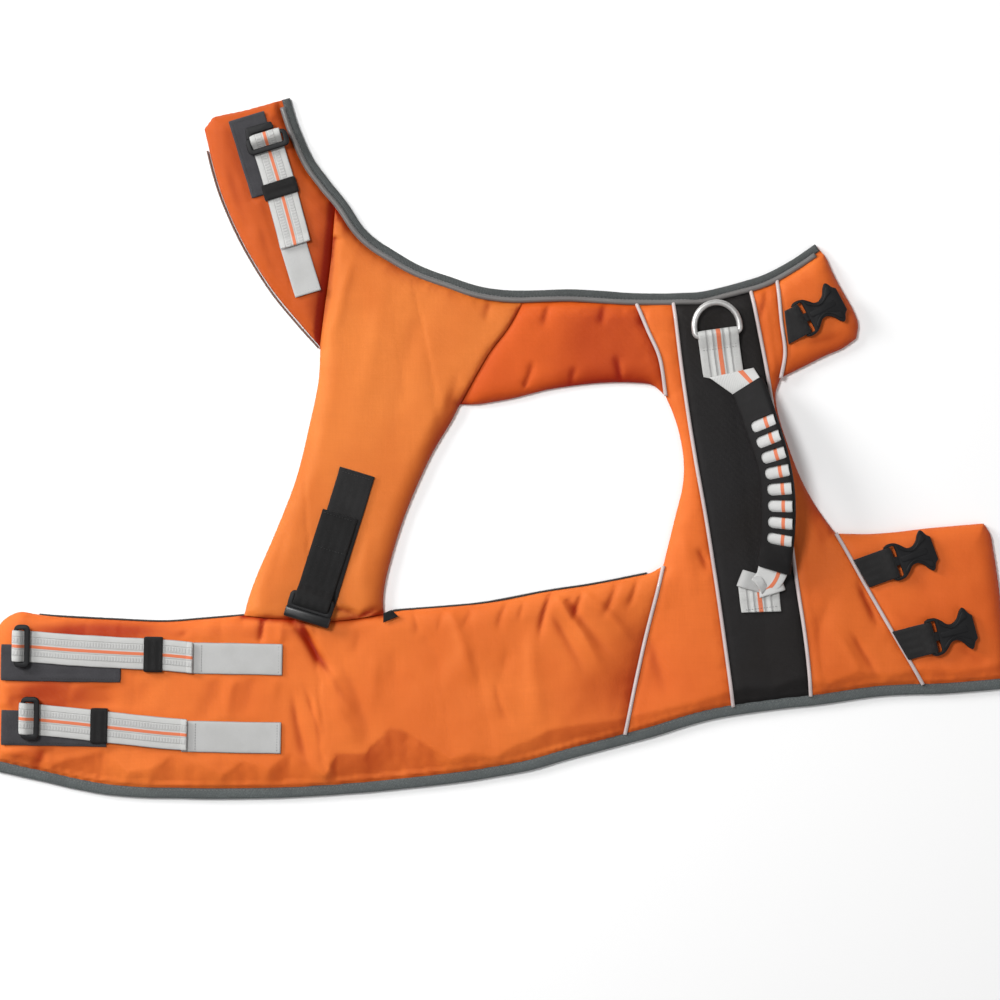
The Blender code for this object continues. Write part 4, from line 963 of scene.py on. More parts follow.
def swept(name, material, places, sides, ups, profile, widths=None):
    """A closed solid of one profile, (side, up) rows, along places with their side and up vectors."""
    places, sides, ups, profile = (np.asarray(v, float) for v in (places, sides, ups, profile))
    widths = np.ones(len(places)) if widths is None else np.asarray(widths, float)
    n, m = len(places), len(profile)
    points = (places[:, None] + sides[:, None] * (profile[None, :, :1] * widths[:, None, None])
              + ups[:, None] * profile[None, :, 1:])
    along = np.repeat(lengths(places), m)
    across = (profile[None, :, 0] * widths[:, None]).ravel()
    faces = tube_faces(n, m) + [tuple(range(m)), tuple((n - 1) * m + k for k in range(m - 1, -1, -1))]
    strip = np.column_stack([across, along, np.tile(profile[:, 1], n)])
    return outward(mesh_piece(name, points.reshape(-1, 3), faces, material, strip=strip))


def flat_section(width, thickness):
    """Section of webbing: flat, with rounded selvedges."""
    t = np.sin(np.linspace(-math.pi / 2, math.pi / 2, 15))
    h = np.sqrt(np.maximum(0.0, 1 - np.abs(t) ** 7)) * thickness / 2
    top = np.column_stack([t * width / 2, h])
    return np.vstack([top, np.column_stack([t * width / 2, -h])[-2:0:-1]])


def round_section(radius):
    angle = np.linspace(0, 2 * math.pi, 14, endpoint=False)
    return np.column_stack([np.cos(angle), np.sin(angle)]) * radius


def joined(name, pieces):
    """One object from several, with their materials."""
    with bpy.context.temp_override(active_object=pieces[0], selected_editable_objects=pieces,
                                   selected_objects=pieces, object=pieces[0]):
        bpy.ops.object.join()
    pieces[0].name = name
    pieces[0].data.name = name
    return pieces[0]


def plan_sweep(name, material, route, section, height):
    """A section swept along a plan line at a height, or at one height for each point."""
    flat = np.zeros(len(route))
    return swept(name, material, np.column_stack([route, flat + height]),
                 np.column_stack([leftward(route), flat]), np.tile([0.0, 0.0, 1.0], (len(route), 1)), section)


STITCH = ((-1, 0, 0), (0, -1, 0), (1, 0, 0), (0, 1, 0), (0, 0, 1), (0, 0, -1))
STITCH_FACES = ((0, 1, 4), (1, 2, 4), (2, 3, 4), (3, 0, 4), (1, 0, 5), (2, 1, 5), (3, 2, 5), (0, 3, 5))


def stitches(name, material, lines, length=2.3, pitch=3.1, width=0.62):
    """Rows of lockstitch along 3D lines, as one mesh."""
    points, faces = [], []
    for line in lines:
        spots = stepped(np.asarray(line, float), pitch * MM)
        middles, slopes = (spots[1:] + spots[:-1]) / 2, np.diff(spots, axis=0)
        for middle, slope in zip(middles, slopes):
            run = slope / np.linalg.norm(slope)
            side = np.cross((0.0, 0.0, 1.0), run)
            side /= np.linalg.norm(side)
            up = np.cross(run, side)
            first = len(points)
            for a, b, c in STITCH:
                points.append(middle + run * a * length / 2 * MM + side * b * width / 2 * MM
                              + up * c * 0.28 * MM)
            faces += [tuple(first + k for k in f) for f in STITCH_FACES]
    strip = np.array(points)[:, [1, 0, 2]]
    return mesh_piece(name, points, faces, material, strip=strip)


def plate(name, material, loops, half_thickness, bevel, matrix, body="jacket"):
    """A flat plate with rounded edges. Loops: its outline, then its holes. All in millimetres."""
    mesh = curve_mesh(name, loops, dimensions="2D", fill_mode="BOTH", bevel_depth=bevel * MM,
                      bevel_resolution=2, offset=-bevel * MM,
                      extrude=max((half_thickness - bevel) * MM, 1e-5))
    bm = bmesh.new()
    bm.from_mesh(mesh)
    bmesh.ops.remove_doubles(bm, verts=bm.verts, dist=0.005 * MM)
    bmesh.ops.triangulate(bm, faces=[f for f in bm.faces if len(f.verts) > 4])
    bmesh.ops.recalc_face_normals(bm, faces=bm.faces)
    bm.to_mesh(mesh)
    bm.free()
    mesh.transform(matrix)
    return piece_of(name, mesh, material, body, sharp=35)


def rounded_loop(rows, radius, cells=5):
    """A closed loop of (x, y) rows with round corners."""
    rows = [np.array(r, float) for r in rows]
    loop = []
    for k, corner in enumerate(rows):
        before, after = rows[k - 1] - corner, rows[(k + 1) % len(rows)] - corner
        reach = min(radius, 0.45 * np.linalg.norm(before), 0.45 * np.linalg.norm(after))
        a = corner + before / np.linalg.norm(before) * reach
        b = corner + after / np.linalg.norm(after) * reach
        for i in range(cells + 1):
            t = i / cells
            loop.append(a * (1 - t) ** 2 + corner * 2 * t * (1 - t) + b * t * t)
    return loop


def oblong(cx, cy, half_x, half_y, radius, cells=5):
    return rounded_loop([(cx - half_x, cy - half_y), (cx + half_x, cy - half_y),
                         (cx + half_x, cy + half_y), (cx - half_x, cy + half_y)], radius, cells)


UPRIGHT = Matrix.Rotation(math.radians(90), 4, "X")
ORIGIN = np.array([0.14, 1.30])     # of the straps' and the handle's tables, from the box's middle


class Run:
    """A straight line over the padding: s along it, t to its left, z up, all in millimetres."""

    def __init__(self, x, y, heading):
        self.turn = math.radians(heading)
        self.start = np.array([x, y]) + ORIGIN
        self.along = np.array([math.cos(self.turn), math.sin(self.turn)])
        self.left = left_of(self.along)

    def at(self, s, t, z):
        return np.array([*(self.start + self.along * s + self.left * t), z]) * MM

    def matrix(self, s, t, z):
        return Matrix.Translation(self.at(s, t, z)) @ Matrix.Rotation(self.turn, 4, "Z")


FLAT = 11.35                        # underside of the first layer of webbing, millimetres
HALF_WEB, LAYER = 0.7, 1.75         # half of a layer, and from one layer to the next
MIDDLE, SECOND = FLAT + HALF_WEB, FLAT + LAYER      # middle of the first layer, underside of the second
SLANTED_ROWS = 8                    # rows of points over which a slanting cut end fades out


def webbing(name, finish, run, rows, width, t=(0.0, 0.0), slants=(0.0, 0.0), wobble=0.12, sway=0.15, seed=1):
    """Webbing along a run. Rows: (s, z) of its middle layer, millimetres. t: its place across the run
    at its lowest and highest s. slants: how skew its two cut ends are."""
    section = flat_section(width * MM, sizes().webbing_thickness)
    path = smooth_line(np.array(rows, float), 1.4)
    s, z = path[:, 0], path[:, 1].copy()
    z += wobble * soft_noise(s, seed * 13.7, 17.0, seed)
    slope = np.gradient(np.column_stack([s, z]), axis=0)
    slope /= np.linalg.norm(slope, axis=1)[:, None]
    middle = t[0] + (t[1] - t[0]) * (s - s.min()) / max(1e-6, s.max() - s.min())
    middle = middle + sway * soft_noise(s, seed * 3.1, 34.0, seed + 1)
    places = np.array([run.at(*place) for place in zip(s, middle, z)])
    sides = np.tile([*run.left, 0.0], (len(s), 1))
    ups = np.column_stack([-slope[:, 1:] * run.along[None, :], slope[:, :1]])
    widths = 1 + 0.012 * soft_noise(s, seed * 5.3, 11.0, seed + 2)
    obj = swept(name, finish_of(finish), places, sides, ups, section, widths)
    strip = obj.data.attributes["strip"].data
    for k, vert in enumerate(obj.data.vertices):
        row = k // len(section)
        for slant, away in ((slants[0], row), (slants[1], len(s) - 1 - row)):
            if slant and away < SLANTED_ROWS:
                shift = slant * strip[k].vector[0] * (1 - away / SLANTED_ROWS)
                vert.co.x += shift * run.along[0]
                vert.co.y += shift * run.along[1]
    return obj


def turn_round(s, z, radius, start, end):
    """Rows that turn round a bar, angles from +s towards up."""
    angles = np.radians(np.linspace(start, end, 9))
    return [(s + radius * math.cos(a), z + radius * math.sin(a)) for a in angles]


def show(obj, slot, *nodes):
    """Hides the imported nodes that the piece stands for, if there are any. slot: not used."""
    if nodes:
        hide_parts(*nodes)


def cloth(obj, slot, node, flat, held, rests_on, area=None):
    """Hides the node of flat cloth, cut to (width, length) millimetres. area: of what is drawn, in square
    metres; not used.
    """
    show(obj, slot, node)
    flat[0] * MM
    flat[1] * MM


@cache
def plan_of_jacket():
    return Plan()


def ground_height():
    """A function that gives the top of the panels at plan spots, in metres."""
    verts, faces = [], []
    for name in PANELS:
        mesh = bpy.data.objects["padded_" + name].data
        faces += [[len(verts) + k for k in p.vertices] for p in mesh.polygons]
        verts += [v.co.copy() for v in mesh.vertices]
    tree = BVHTree.FromPolygons(verts, faces)

    def height(spots):
        found = [tree.ray_cast(Vector((x, y, 0.2)), Vector((0, 0, -1)))[0] for x, y in spots]
        return np.array([hit.z if hit else 0.0 for hit in found])
    return height


class JACKET_OT_panels(bpy.types.Operator):
    """The nine padded panels, their shells sewn, creased and pressed by what lies on them"""

    bl_idname = "jacket.panels"
    bl_label = "Panels"

    def execute(self, context):
        plan = plan_of_jacket()
        for name in PANELS:
            black = name == "back_centre"
            obj = panel_shell(plan, name, finish_of("centre nylon" if black else "orange " + name))
            obj.name = "padded_" + name
            show(obj, "black_nylon" if black else "orange_nylon", name)
        return {"FINISHED"}


BINDING_SECTION = (
    # outward from the sewn edge, height, millimetres
    (-7.0, 4.0), (-7.2, 4.4), (-6.6, 4.85), (-4.8, 5.1), (-2.4, 5.2), (-0.4, 5.0), (0.8, 4.4),
    (1.35, 3.4), (1.45, 2.2), (1.25, 1.1), (0.6, 0.3), (-0.6, 0.0), (-2.5, 0.0), (-2.5, 0.6),
    (-0.2, 0.8), (0.5, 1.8), (0.4, 3.0), (-0.4, 3.8),
)


def uneven(route, amount, scale, seed):
    """The line with its middle moved a little to either side, as a sewn tape wanders."""
    shift = amount * MM * soft_noise(lengths(route) / MM, 7.7, scale, seed)
    return route + leftward(route) * shift[:, None]


def bound_edge(name, finish, route, side, seed):
    """Tape folded over an edge. side: 1 where outward is to the left of the route, -1 to its right."""
    route = uneven(route, 0.35, 26.0, seed)
    fine = stepped(route, 2.5 * MM)
    inner = 0.72 if side > 0 else 1.0       # the neck's tape is narrower on the padding
    section = [(side * a * (inner if a < -3 else 1.0) * MM, z * MM) for a, z in BINDING_SECTION]
    lift = np.maximum(0.12 * MM * soft_noise(lengths(route) / MM, 2.2, 14.0, seed + 1), 0.0)
    lift = np.interp(np.linspace(0, 1, len(fine)), np.linspace(0, 1, len(lift)), lift)
    return plan_sweep(name, finish_of(finish), fine, section, lift)


EDGINGS = {
    # node: plan rows in millimetres
    "belly_edging": ((-370, -132.6), (-354, -133.9), (-308, -136.4), (-270, -137.9), (-241, -135.9),
                     (-206, -133.0)),
    "leg_edging": ((-87, -129.8), (-80, -128.8), (-46, -126.2), (-12, -122.8), (36, -113.8),
                   (75, -107.8), (117, -99.5)),
    "wing_edging": ((-235.2, 239.0), (-231, 222), (-222.8, 197), (-206.8, 162.4), (-185.9, 128.3),
                    (-165.0, 102.2), (-146.3, 81.3)),
}


EDGING_SECTION = (
    # outward, height, millimetres
    (-0.9, 0.3), (0.35, 0.3), (0.5, 1.4), (0.4, 2.6), (0.0, 3.1), (-0.4, 3.1), (-0.8, 2.6), (-1.0, 1.4),
)


class JACKET_OT_bindings(bpy.types.Operator):
    """Grey tape folded over the neck edge and the hem, and the thin edgings"""

    bl_idname = "jacket.bindings"
    bl_label = "Bindings and edgings"

    def execute(self, context):
        plan = plan_of_jacket()
        for name, finish, route, side, seed, width, rests in (
                ("neck", "neck binding", plan.neck_tape, 1, 3, 17, ["chest_panel", "back_centre"]),
                ("hem", "binding", plan.hem, -1, 8, 19, ["belly_left", "back_centre"])):
            obj = bound_edge(name + "_tape", finish, route, side, seed)
            cloth(obj, "grey_binding", name + "_binding", (width, lengths(route)[-1] / MM), "folded", rests)
        section = np.array(EDGING_SECTION) * MM
        for node, rows in EDGINGS.items():
            route = smooth_line(np.array(rows) * MM, 2.5 * MM)
            finish = finish_of("wing edging" if node == "wing_edging" else "edging")
            obj = plan_sweep(node + "_tape", finish, route, section, 0.0)
            length = lengths(route)[-1]
            cloth(obj, "grey_binding", node, (10, length / MM), "folded", ["belly_left"],
                  area=length * 5.0 * MM)      # a thin fold of it shows
        return {"FINISHED"}


SEAM_LINES = {
    # piping: plan rows from the neck to its lower end, millimetres
    "piping_1": ((106.6, 121.0), (117.1, 95.3), (127.1, 72.3), (132.1, 42.3)),
    "piping_2": ((137.2, 123.0), (146.6, 49.3), (157.1, -16.7), (164.1, -56.7), (174.1, -120.7),
                 (186.9, -211.5)),
    "piping_3": ((199.3, 130.5), (214.1, 54.3), (225.1, -16.7), (234.6, -93.7), (243.6, -152.7),
                 (249.0, -204.5)),
    "piping_4": ((220.6, 139.5), (224.1, 103.3), (227.1, 77.3), (224.1, 56.3)),
    "piping_5": ((130.1, -93.7), (114.1, -159.7), (98.2, -235.0)),
    "piping_6": ((268.1, -67.7), (302.1, -127.7), (342.0, -195.5)),
}


class JACKET_OT_pipings(bpy.types.Operator):
    """Reflective pipings in the seams and inside the neck tape"""

    bl_idname = "jacket.pipings"
    bl_label = "Pipings"

    def execute(self, context):
        plan = plan_of_jacket()
        radius = sizes().piping_radius
        height = ground_height()
        for node, rows in SEAM_LINES.items():
            route = smooth_line(np.array(rows) * MM, 1.5 * MM)
            clear_of_neck = plan.neck_trail.near(route)[0] > 4.4 * MM
            route = route[clear_of_neck & (plan.hem_trail.near(route)[0] > 5.6 * MM)]
            aside = leftward(route) * 1.6 * MM
            level = np.maximum(height(route + aside), height(route - aside))
            level = np.convolve(np.pad(level, 4, mode="edge"), np.ones(9) / 9, mode="valid")
            obj = plan_sweep(node + "_cord", finish_of("piping"), uneven(route, 0.14, 27.0, 48),
                             round_section(radius), level + radius * 0.62)
            show(obj, "reflective_piping", node)
        inner = plan.neck_tape - leftward(plan.neck_tape) * 6.3 * MM
        inner = stepped(uneven(inner, 0.25, 21.0, 77)[6:-5], 2.0 * MM)
        obj = plan_sweep("neck_piping_cord", finish_of("neck piping"), inner, round_section(radius * 1.4),
                         5.6 * MM)
        show(obj, "reflective_piping", "neck_piping")
        return {"FINISHED"}


NECK_LINE, UPPER_LINE, LOWER_LINE = (-203.5, 264, -73), (-399, -163, -1), (-399, -221, -1)
ADJUSTERS = {
    # line (x, y, heading), base (from, to, t, width), slider (s, t, length), strap's end (s, t),
    # keeper (from, to), plain end (from, to, t, width)
    "neck_strap": (NECK_LINE, (0, 64, 0, 29.5), (18, 10.5, 14.5), (110, 7.5), (57, 70),
                   (112, 150, 6.0, 21.5)),
    "belly_upper": (UPPER_LINE, (0, 95, -9, 29), (10.4, 4.5, 13.2), (153, -2), (114, 129),
                    (154.5, 224.4, -2.9, 25)),
    "belly_lower": (LOWER_LINE, (0, 84, -3, 28), (15.9, 5.1, 15.1), (148.4, -6.4), (71.5, 85),
                    (150, 223.3, -7.6, 25)),
}
STRAP_WIDTH = 25.0
SLIDER_WIDTH = 34.4
NECK_BLOCK = ((-8.2, -13.5), (1.8, -16.0), (1.8, -11.5), (-1.9, -10.0), (-1.9, 8.5), (-7.6, 7.5))
BAR_Z = 4.5                         # of a slider's low bar above its foot
BAR_REACH = 1.5 + 0.4 + HALF_WEB    # from a bar's axis to the middle of the webbing round it


def slider_piece(name, node, run, s, t, length, width=SLIDER_WIDTH, hole_end=None, block=None, roll=None):
    """Slider: a round-cornered frame on two feet. The strap turns round its low bar and goes under its
    high bar. block: outline of one more bar in front. roll: a thick end bar (s, half of its depth)."""
    plastic = finish_of("plastic")
    half = width / 2
    top = run.matrix(s, t, SECOND + BAR_Z)
    start, end = 3.5, hole_end or length - 4.4
    loops = [oblong((length + 0.3) / 2, 0, (length - 0.3) / 2, half, 5.2),
             oblong((start + end) / 2, 0, (end - start) / 2, half - 4.3, 1.2)]
    parts = [plate(name, plastic, loops, 1.5, 0.9, top)]
    foot = rounded_loop([(2.4, 0.0), (length - 2.2, 0.0), (length - 3.4, BAR_Z), (3.6, BAR_Z)], 1.2, 3)
    for side in (-1, 1):
        place = run.matrix(s, t + side * (half - 2.4), SECOND)
        parts.append(plate(name, plastic, [foot], 1.6, 0.6, place @ UPRIGHT))
    if block:
        parts.append(plate(name, plastic, [rounded_loop(block, 1.6, 3)], 1.7, 0.8, top))
    if roll:
        place = run.matrix(s + roll[0], t, SECOND + 3.9)
        parts.append(plate(name, finish_of("gloss plastic"), [oblong(0, 0, roll[1], 3.6, 3.2, 7)],
                           half + 0.2, 1.4, place @ UPRIGHT))
    show(joined(name, parts), "black_plastic", node)


def strap_rows(s, end, length):
    """Striped strap: from under the slider round its low bar, under its high bar and along the base."""
    bar_s, bar_z = s + 2.0, SECOND + BAR_Z
    flat = SECOND + HALF_WEB
    return [(bar_s + 5.0, bar_z - BAR_REACH - 0.1), (bar_s + 2.5, bar_z - BAR_REACH),
            *turn_round(bar_s, bar_z, BAR_REACH, 270, 90),
            (bar_s + 2.6, bar_z + BAR_REACH - 0.3), (s + length - 5.0, flat + 1.0),
            (s + length, flat + 0.25), (s + length + 8, flat), (end - 12, flat), (end - 5, flat + 0.9),
            (end, flat + 2.2)]


class JACKET_OT_adjusters(bpy.types.Operator):
    """The three adjuster straps with their base tapes, keepers, sliders and plain ends"""

    bl_idname = "jacket.adjusters"
    bl_label = "Adjuster straps"

    def execute(self, context):
        for seed, (name, (line, base, slider, strap, keeper, plain)) in enumerate(ADJUSTERS.items()):
            run = Run(*line)
            rests = ["wing_left" if name == "neck_strap" else "belly_left"]
            start, end, t, width = base
            rows = [(start, MIDDLE - 0.5), (start + 5, MIDDLE), ((start + end) / 2, MIDDLE),
                    (end - 4, MIDDLE), (end, MIDDLE - 0.15)]
            obj = webbing(name + "_base_tape", "base tape", run, rows, width, (t, t), seed=seed + 1)
            cloth(obj, "dark_tape", name + "_base", (width, end - start), "laid", rests)
            s, t, length = slider
            slider_piece(name + "_ladderlock", name + "_slider", run, s, t, length,
                         block=NECK_BLOCK if name == "neck_strap" else None)
            end, t_end = strap
            obj = webbing(name + "_striped", "striped webbing", run, strap_rows(s, end, length), STRAP_WIDTH,
                          (t, t_end), wobble=0.35, sway=0.7, seed=seed + 11)
            cloth(obj, "striped_webbing", name + "_webbing", (STRAP_WIDTH, end - s + 14), "folded", rests)
            middle = (keeper[0] + keeper[1]) / 2
            spot = run.start + run.along * middle + run.left * (t + (t_end - t) * (middle - s) / (end - s))
            across = Run(*(spot - ORIGIN), line[2] + 90)
            self.lay_keeper(name, across, keeper[1] - keeper[0], rests, seed + 21)
            start, end, t, width = plain
            rows = [(start - 6, MIDDLE), (start + 10, MIDDLE), ((start + end) / 2, MIDDLE),
                    (end - 8, MIDDLE), (end, MIDDLE + 0.35)]
            obj = webbing(name + "_end", "plain webbing", run, rows, width, (t, t), seed=seed + 31)
            cloth(obj, "grey_webbing", name + "_plain", (width, end - start + 6), "laid", rests)
        return {"FINISHED"}

    def lay_keeper(self, name, across, width, rests, seed):
        """The elastic loop that holds the strap down, along a run across it."""
        over = SECOND + 2 * HALF_WEB + 0.35 + HALF_WEB
        half = STRAP_WIDTH / 2 + 0.4
        rise = [(half + 0.6, SECOND - 0.9), (half + 0.5, SECOND + 0.7), (half, over - 0.15),
                (half - 3, over + 0.1)]
        rows = [(-s, z) for s, z in rise] + [(0, over + 0.2)] + rise[::-1]
        obj = webbing(name + "_elastic", "elastic", across, rows, width, wobble=0.05, seed=seed)
        cloth(obj, "black_webbing", name + "_keeper", (width, 2 * half + 8), "stretched", rests)


CHEST_LINE = (-114.8, -20, -107)
CHEST_WIDTH = 29.0
CHEST_HUMP = (
    # s, height above the second layer: the chest strap over its slider and down under the slider's roll
    (36, 0.95), (42, 0.8), (56, 1.5), (70, 1.1), (92, 1.3), (98, 2.6), (101.6, 5.6), (104.5, 7.7),
    (108.5, 8.4), (112.5, 7.6), (115.4, 5.4), (116.6, 2.6), (118.5, 0.9), (124, 0.75),
)


class JACKET_OT_chest_strap(bpy.types.Operator):
    """The black chest tape, the webbing that doubles back over it and its bar, and the small tab"""

    bl_idname = "jacket.chest_strap"
    bl_label = "Chest strap"

    def execute(self, context):
        run = Run(*CHEST_LINE)
        rows = [(0, MIDDLE + 0.3), (5, MIDDLE), (50, MIDDLE), (104, MIDDLE), (108, MIDDLE)]
        obj = webbing("chest_hook_tape", "black webbing", run, rows, CHEST_WIDTH, seed=51)
        cloth(obj, "black_webbing", "chest_tape", (CHEST_WIDTH, 108), "laid", ["chest_panel"])
        rows = [(s, SECOND + height) for s, height in CHEST_HUMP]
        obj = webbing("chest_strap", "black strap", run, rows, CHEST_WIDTH, (-3.0, -4), wobble=0.3, seed=52)
        cloth(obj, "black_webbing", "chest_webbing", (CHEST_WIDTH, 96), "folded", ["chest_panel"])
        slider_piece("chest_bar", "chest_slider", run, 103.6, -4.0, 16.4, 37.0, hole_end=11.4,
                     roll=(18.2, 4.7))
        rows = [(0, MIDDLE), (4, MIDDLE + 0.1), (8, MIDDLE), (10, MIDDLE - 0.2)]
        obj = webbing("leg_opening_tab", "black strap", Run(-94.0, -136.5, 22), rows, 7.0,
                      slants=(0.5, -0.5), seed=53)
        show(obj, "black_webbing", "leg_tab")
        return {"FINISHED"}


RING_LINE = (173, 90, -82)
RING_WIRE = 2.4                     # radius of the wire
RING_SIZE = (41.0, 30.0)            # outside width and height


class JACKET_OT_ring(bpy.types.Operator):
    """The nickel lead ring and the webbing loop that holds it"""

    bl_idname = "jacket.ring"
    bl_label = "Lead ring"

    def execute(self, context):
        run = Run(*RING_LINE)
        ring_z = FLAT + 2 * HALF_WEB + 0.4 + RING_WIRE
        reach = RING_WIRE + 0.4 + HALF_WEB
        upper = MIDDLE + LAYER
        rows = [(36, MIDDLE), (20, MIDDLE), (4, MIDDLE), *turn_round(0.0, ring_z, reach, 270, 90),
                (6, upper + 2.6), (12, upper + 0.3), (24, upper), (38, upper + 0.05)]
        obj = webbing("ring_loop", "ring webbing", run, rows, 32.0, slants=(0.35, 0.35), wobble=0.3, seed=61)
        cloth(obj, "striped_webbing", "ring_webbing", (30.0, 82), "folded", ["back_centre"])
        outline = [(-y, x) for x, y in self.outline()]
        mesh = curve_mesh("lead_ring", [outline], dimensions="3D", bevel_depth=RING_WIRE * MM,
                          bevel_resolution=6)
        mesh.transform(run.matrix(0.0, 0.0, ring_z))
        obj = piece_of("lead_ring", mesh, finish_of("nickel"), "d_ring")
        show(obj, "nickel", "d_ring")
        return {"FINISHED"}

    def outline(self):
        """Middle line of the wire: a straight bar on the x axis, two round corners and an arch."""
        half, height, corner = RING_SIZE[0] / 2 - RING_WIRE, RING_SIZE[1] - 2 * RING_WIRE, 3.5
        turns = np.radians((22.5, 45, 67.5, 90))
        right = [(half - corner + corner * math.sin(a), corner - corner * math.cos(a)) for a in turns]
        rise, base = height - corner - 2.5, corner + 2.5
        arch = [(half * math.cos(a), base + rise * math.sin(a)) for a in np.linspace(0, math.pi, 31)]
        left = [(-x, y) for x, y in right[::-1]]
        return [(-half + corner, 0.0), (0.0, 0.0), (half - corner, 0.0), *right, *arch, *left]


HANDLE_ROUTE = (
    # middle of the grip: x, y, z, width of the webbing there, roll towards the right
    (192.0, 55.5, 16.2, 25.0, 8), (195.0, 50.0, 17.2, 25.0, 14), (198.7, 42.0, 20.4, 25.0, 18),
    (203.6, 27.0, 25.6, 25.0, 23), (209.4, 8.0, 30.4, 25.0, 27), (214.8, -10.0, 33.0, 25.0, 28),
    (218.4, -30.0, 34.0, 25.0, 28), (219.6, -50.0, 32.6, 25.0, 28), (219.4, -70.0, 28.8, 25.0, 25),
    (218.2, -86.0, 23.4, 25.0, 20), (216.8, -97.0, 18.8, 24.0, 10), (213.4, -105.5, 16.2, 22.0, 2),
    (207.0, -112.5, 15.0, 20.0, -4),
)
HANDLE_LENGTH = 190.0
SLEEVE_SPAN = (9.0, 162.0)
SLEEVE_SIZE = (28.5, 7.5)
SLEEVE_HOLE = (26.4, 3.2)
WINDOWS, FIRST_WINDOW, WINDOW_PITCH = 8, 43.0, 13.2
WINDOW_SIZE = (9.8, 22.6)
WINDOW_SHIFT = 3.6              # of the windows towards the left
STRIPE_SHIFT = 5.0              # of the handle webbing's stripe towards the right
# the slanted fold where the handle's webbing starts, and how far along it the webbing turns
FOLD_LINE = ((166.2, 56.4, 15.6), (201.6, 64.4, 15.2))
FOLD_REACH = 9.5


def handle_frames(spots):
    """Places in metres, sides, ups, widths and slopes at distances along the handle in millimetres."""
    rows = np.array(HANDLE_ROUTE)
    rows[:, :2] += ORIGIN
    fine = smooth_line(rows, 0.5)
    along = lengths(fine[:, :3])
    picked = np.stack([np.interp(spots, along, fine[:, k]) for k in range(5)], axis=1)
    slope = np.stack([np.interp(spots, along, np.gradient(fine[:, k], along)) for k in range(3)], axis=1)
    slope /= np.linalg.norm(slope, axis=1)[:, None]
    side = np.column_stack([-slope[:, 1], slope[:, 0], np.zeros(len(slope))])
    side /= np.linalg.norm(side, axis=1)[:, None]
    roll = np.radians(picked[:, 4])[:, None]
    across = side * np.cos(roll) + np.cross(slope, side) * np.sin(roll)
    return picked[:, :3] * MM, across, np.cross(slope, across), picked[:, 3], slope


def slot_section(width, height, cells=7):
    """Ring of points round a flat tube: two half-circles, with three points on each flat side."""
    round_end = height / 2
    flat = width / 2 - round_end
    rows = []
    for side, start in ((1, -90), (-1, 90)):
        for angle in np.radians(start + 180 * np.arange(cells) / (cells - 1)):
            rows.append((side * flat + round_end * math.cos(angle), round_end * math.sin(angle)))
        rows += [(side * flat * (1 - k / 2), side * round_end) for k in (1, 2, 3)]
    return np.array(rows) * MM


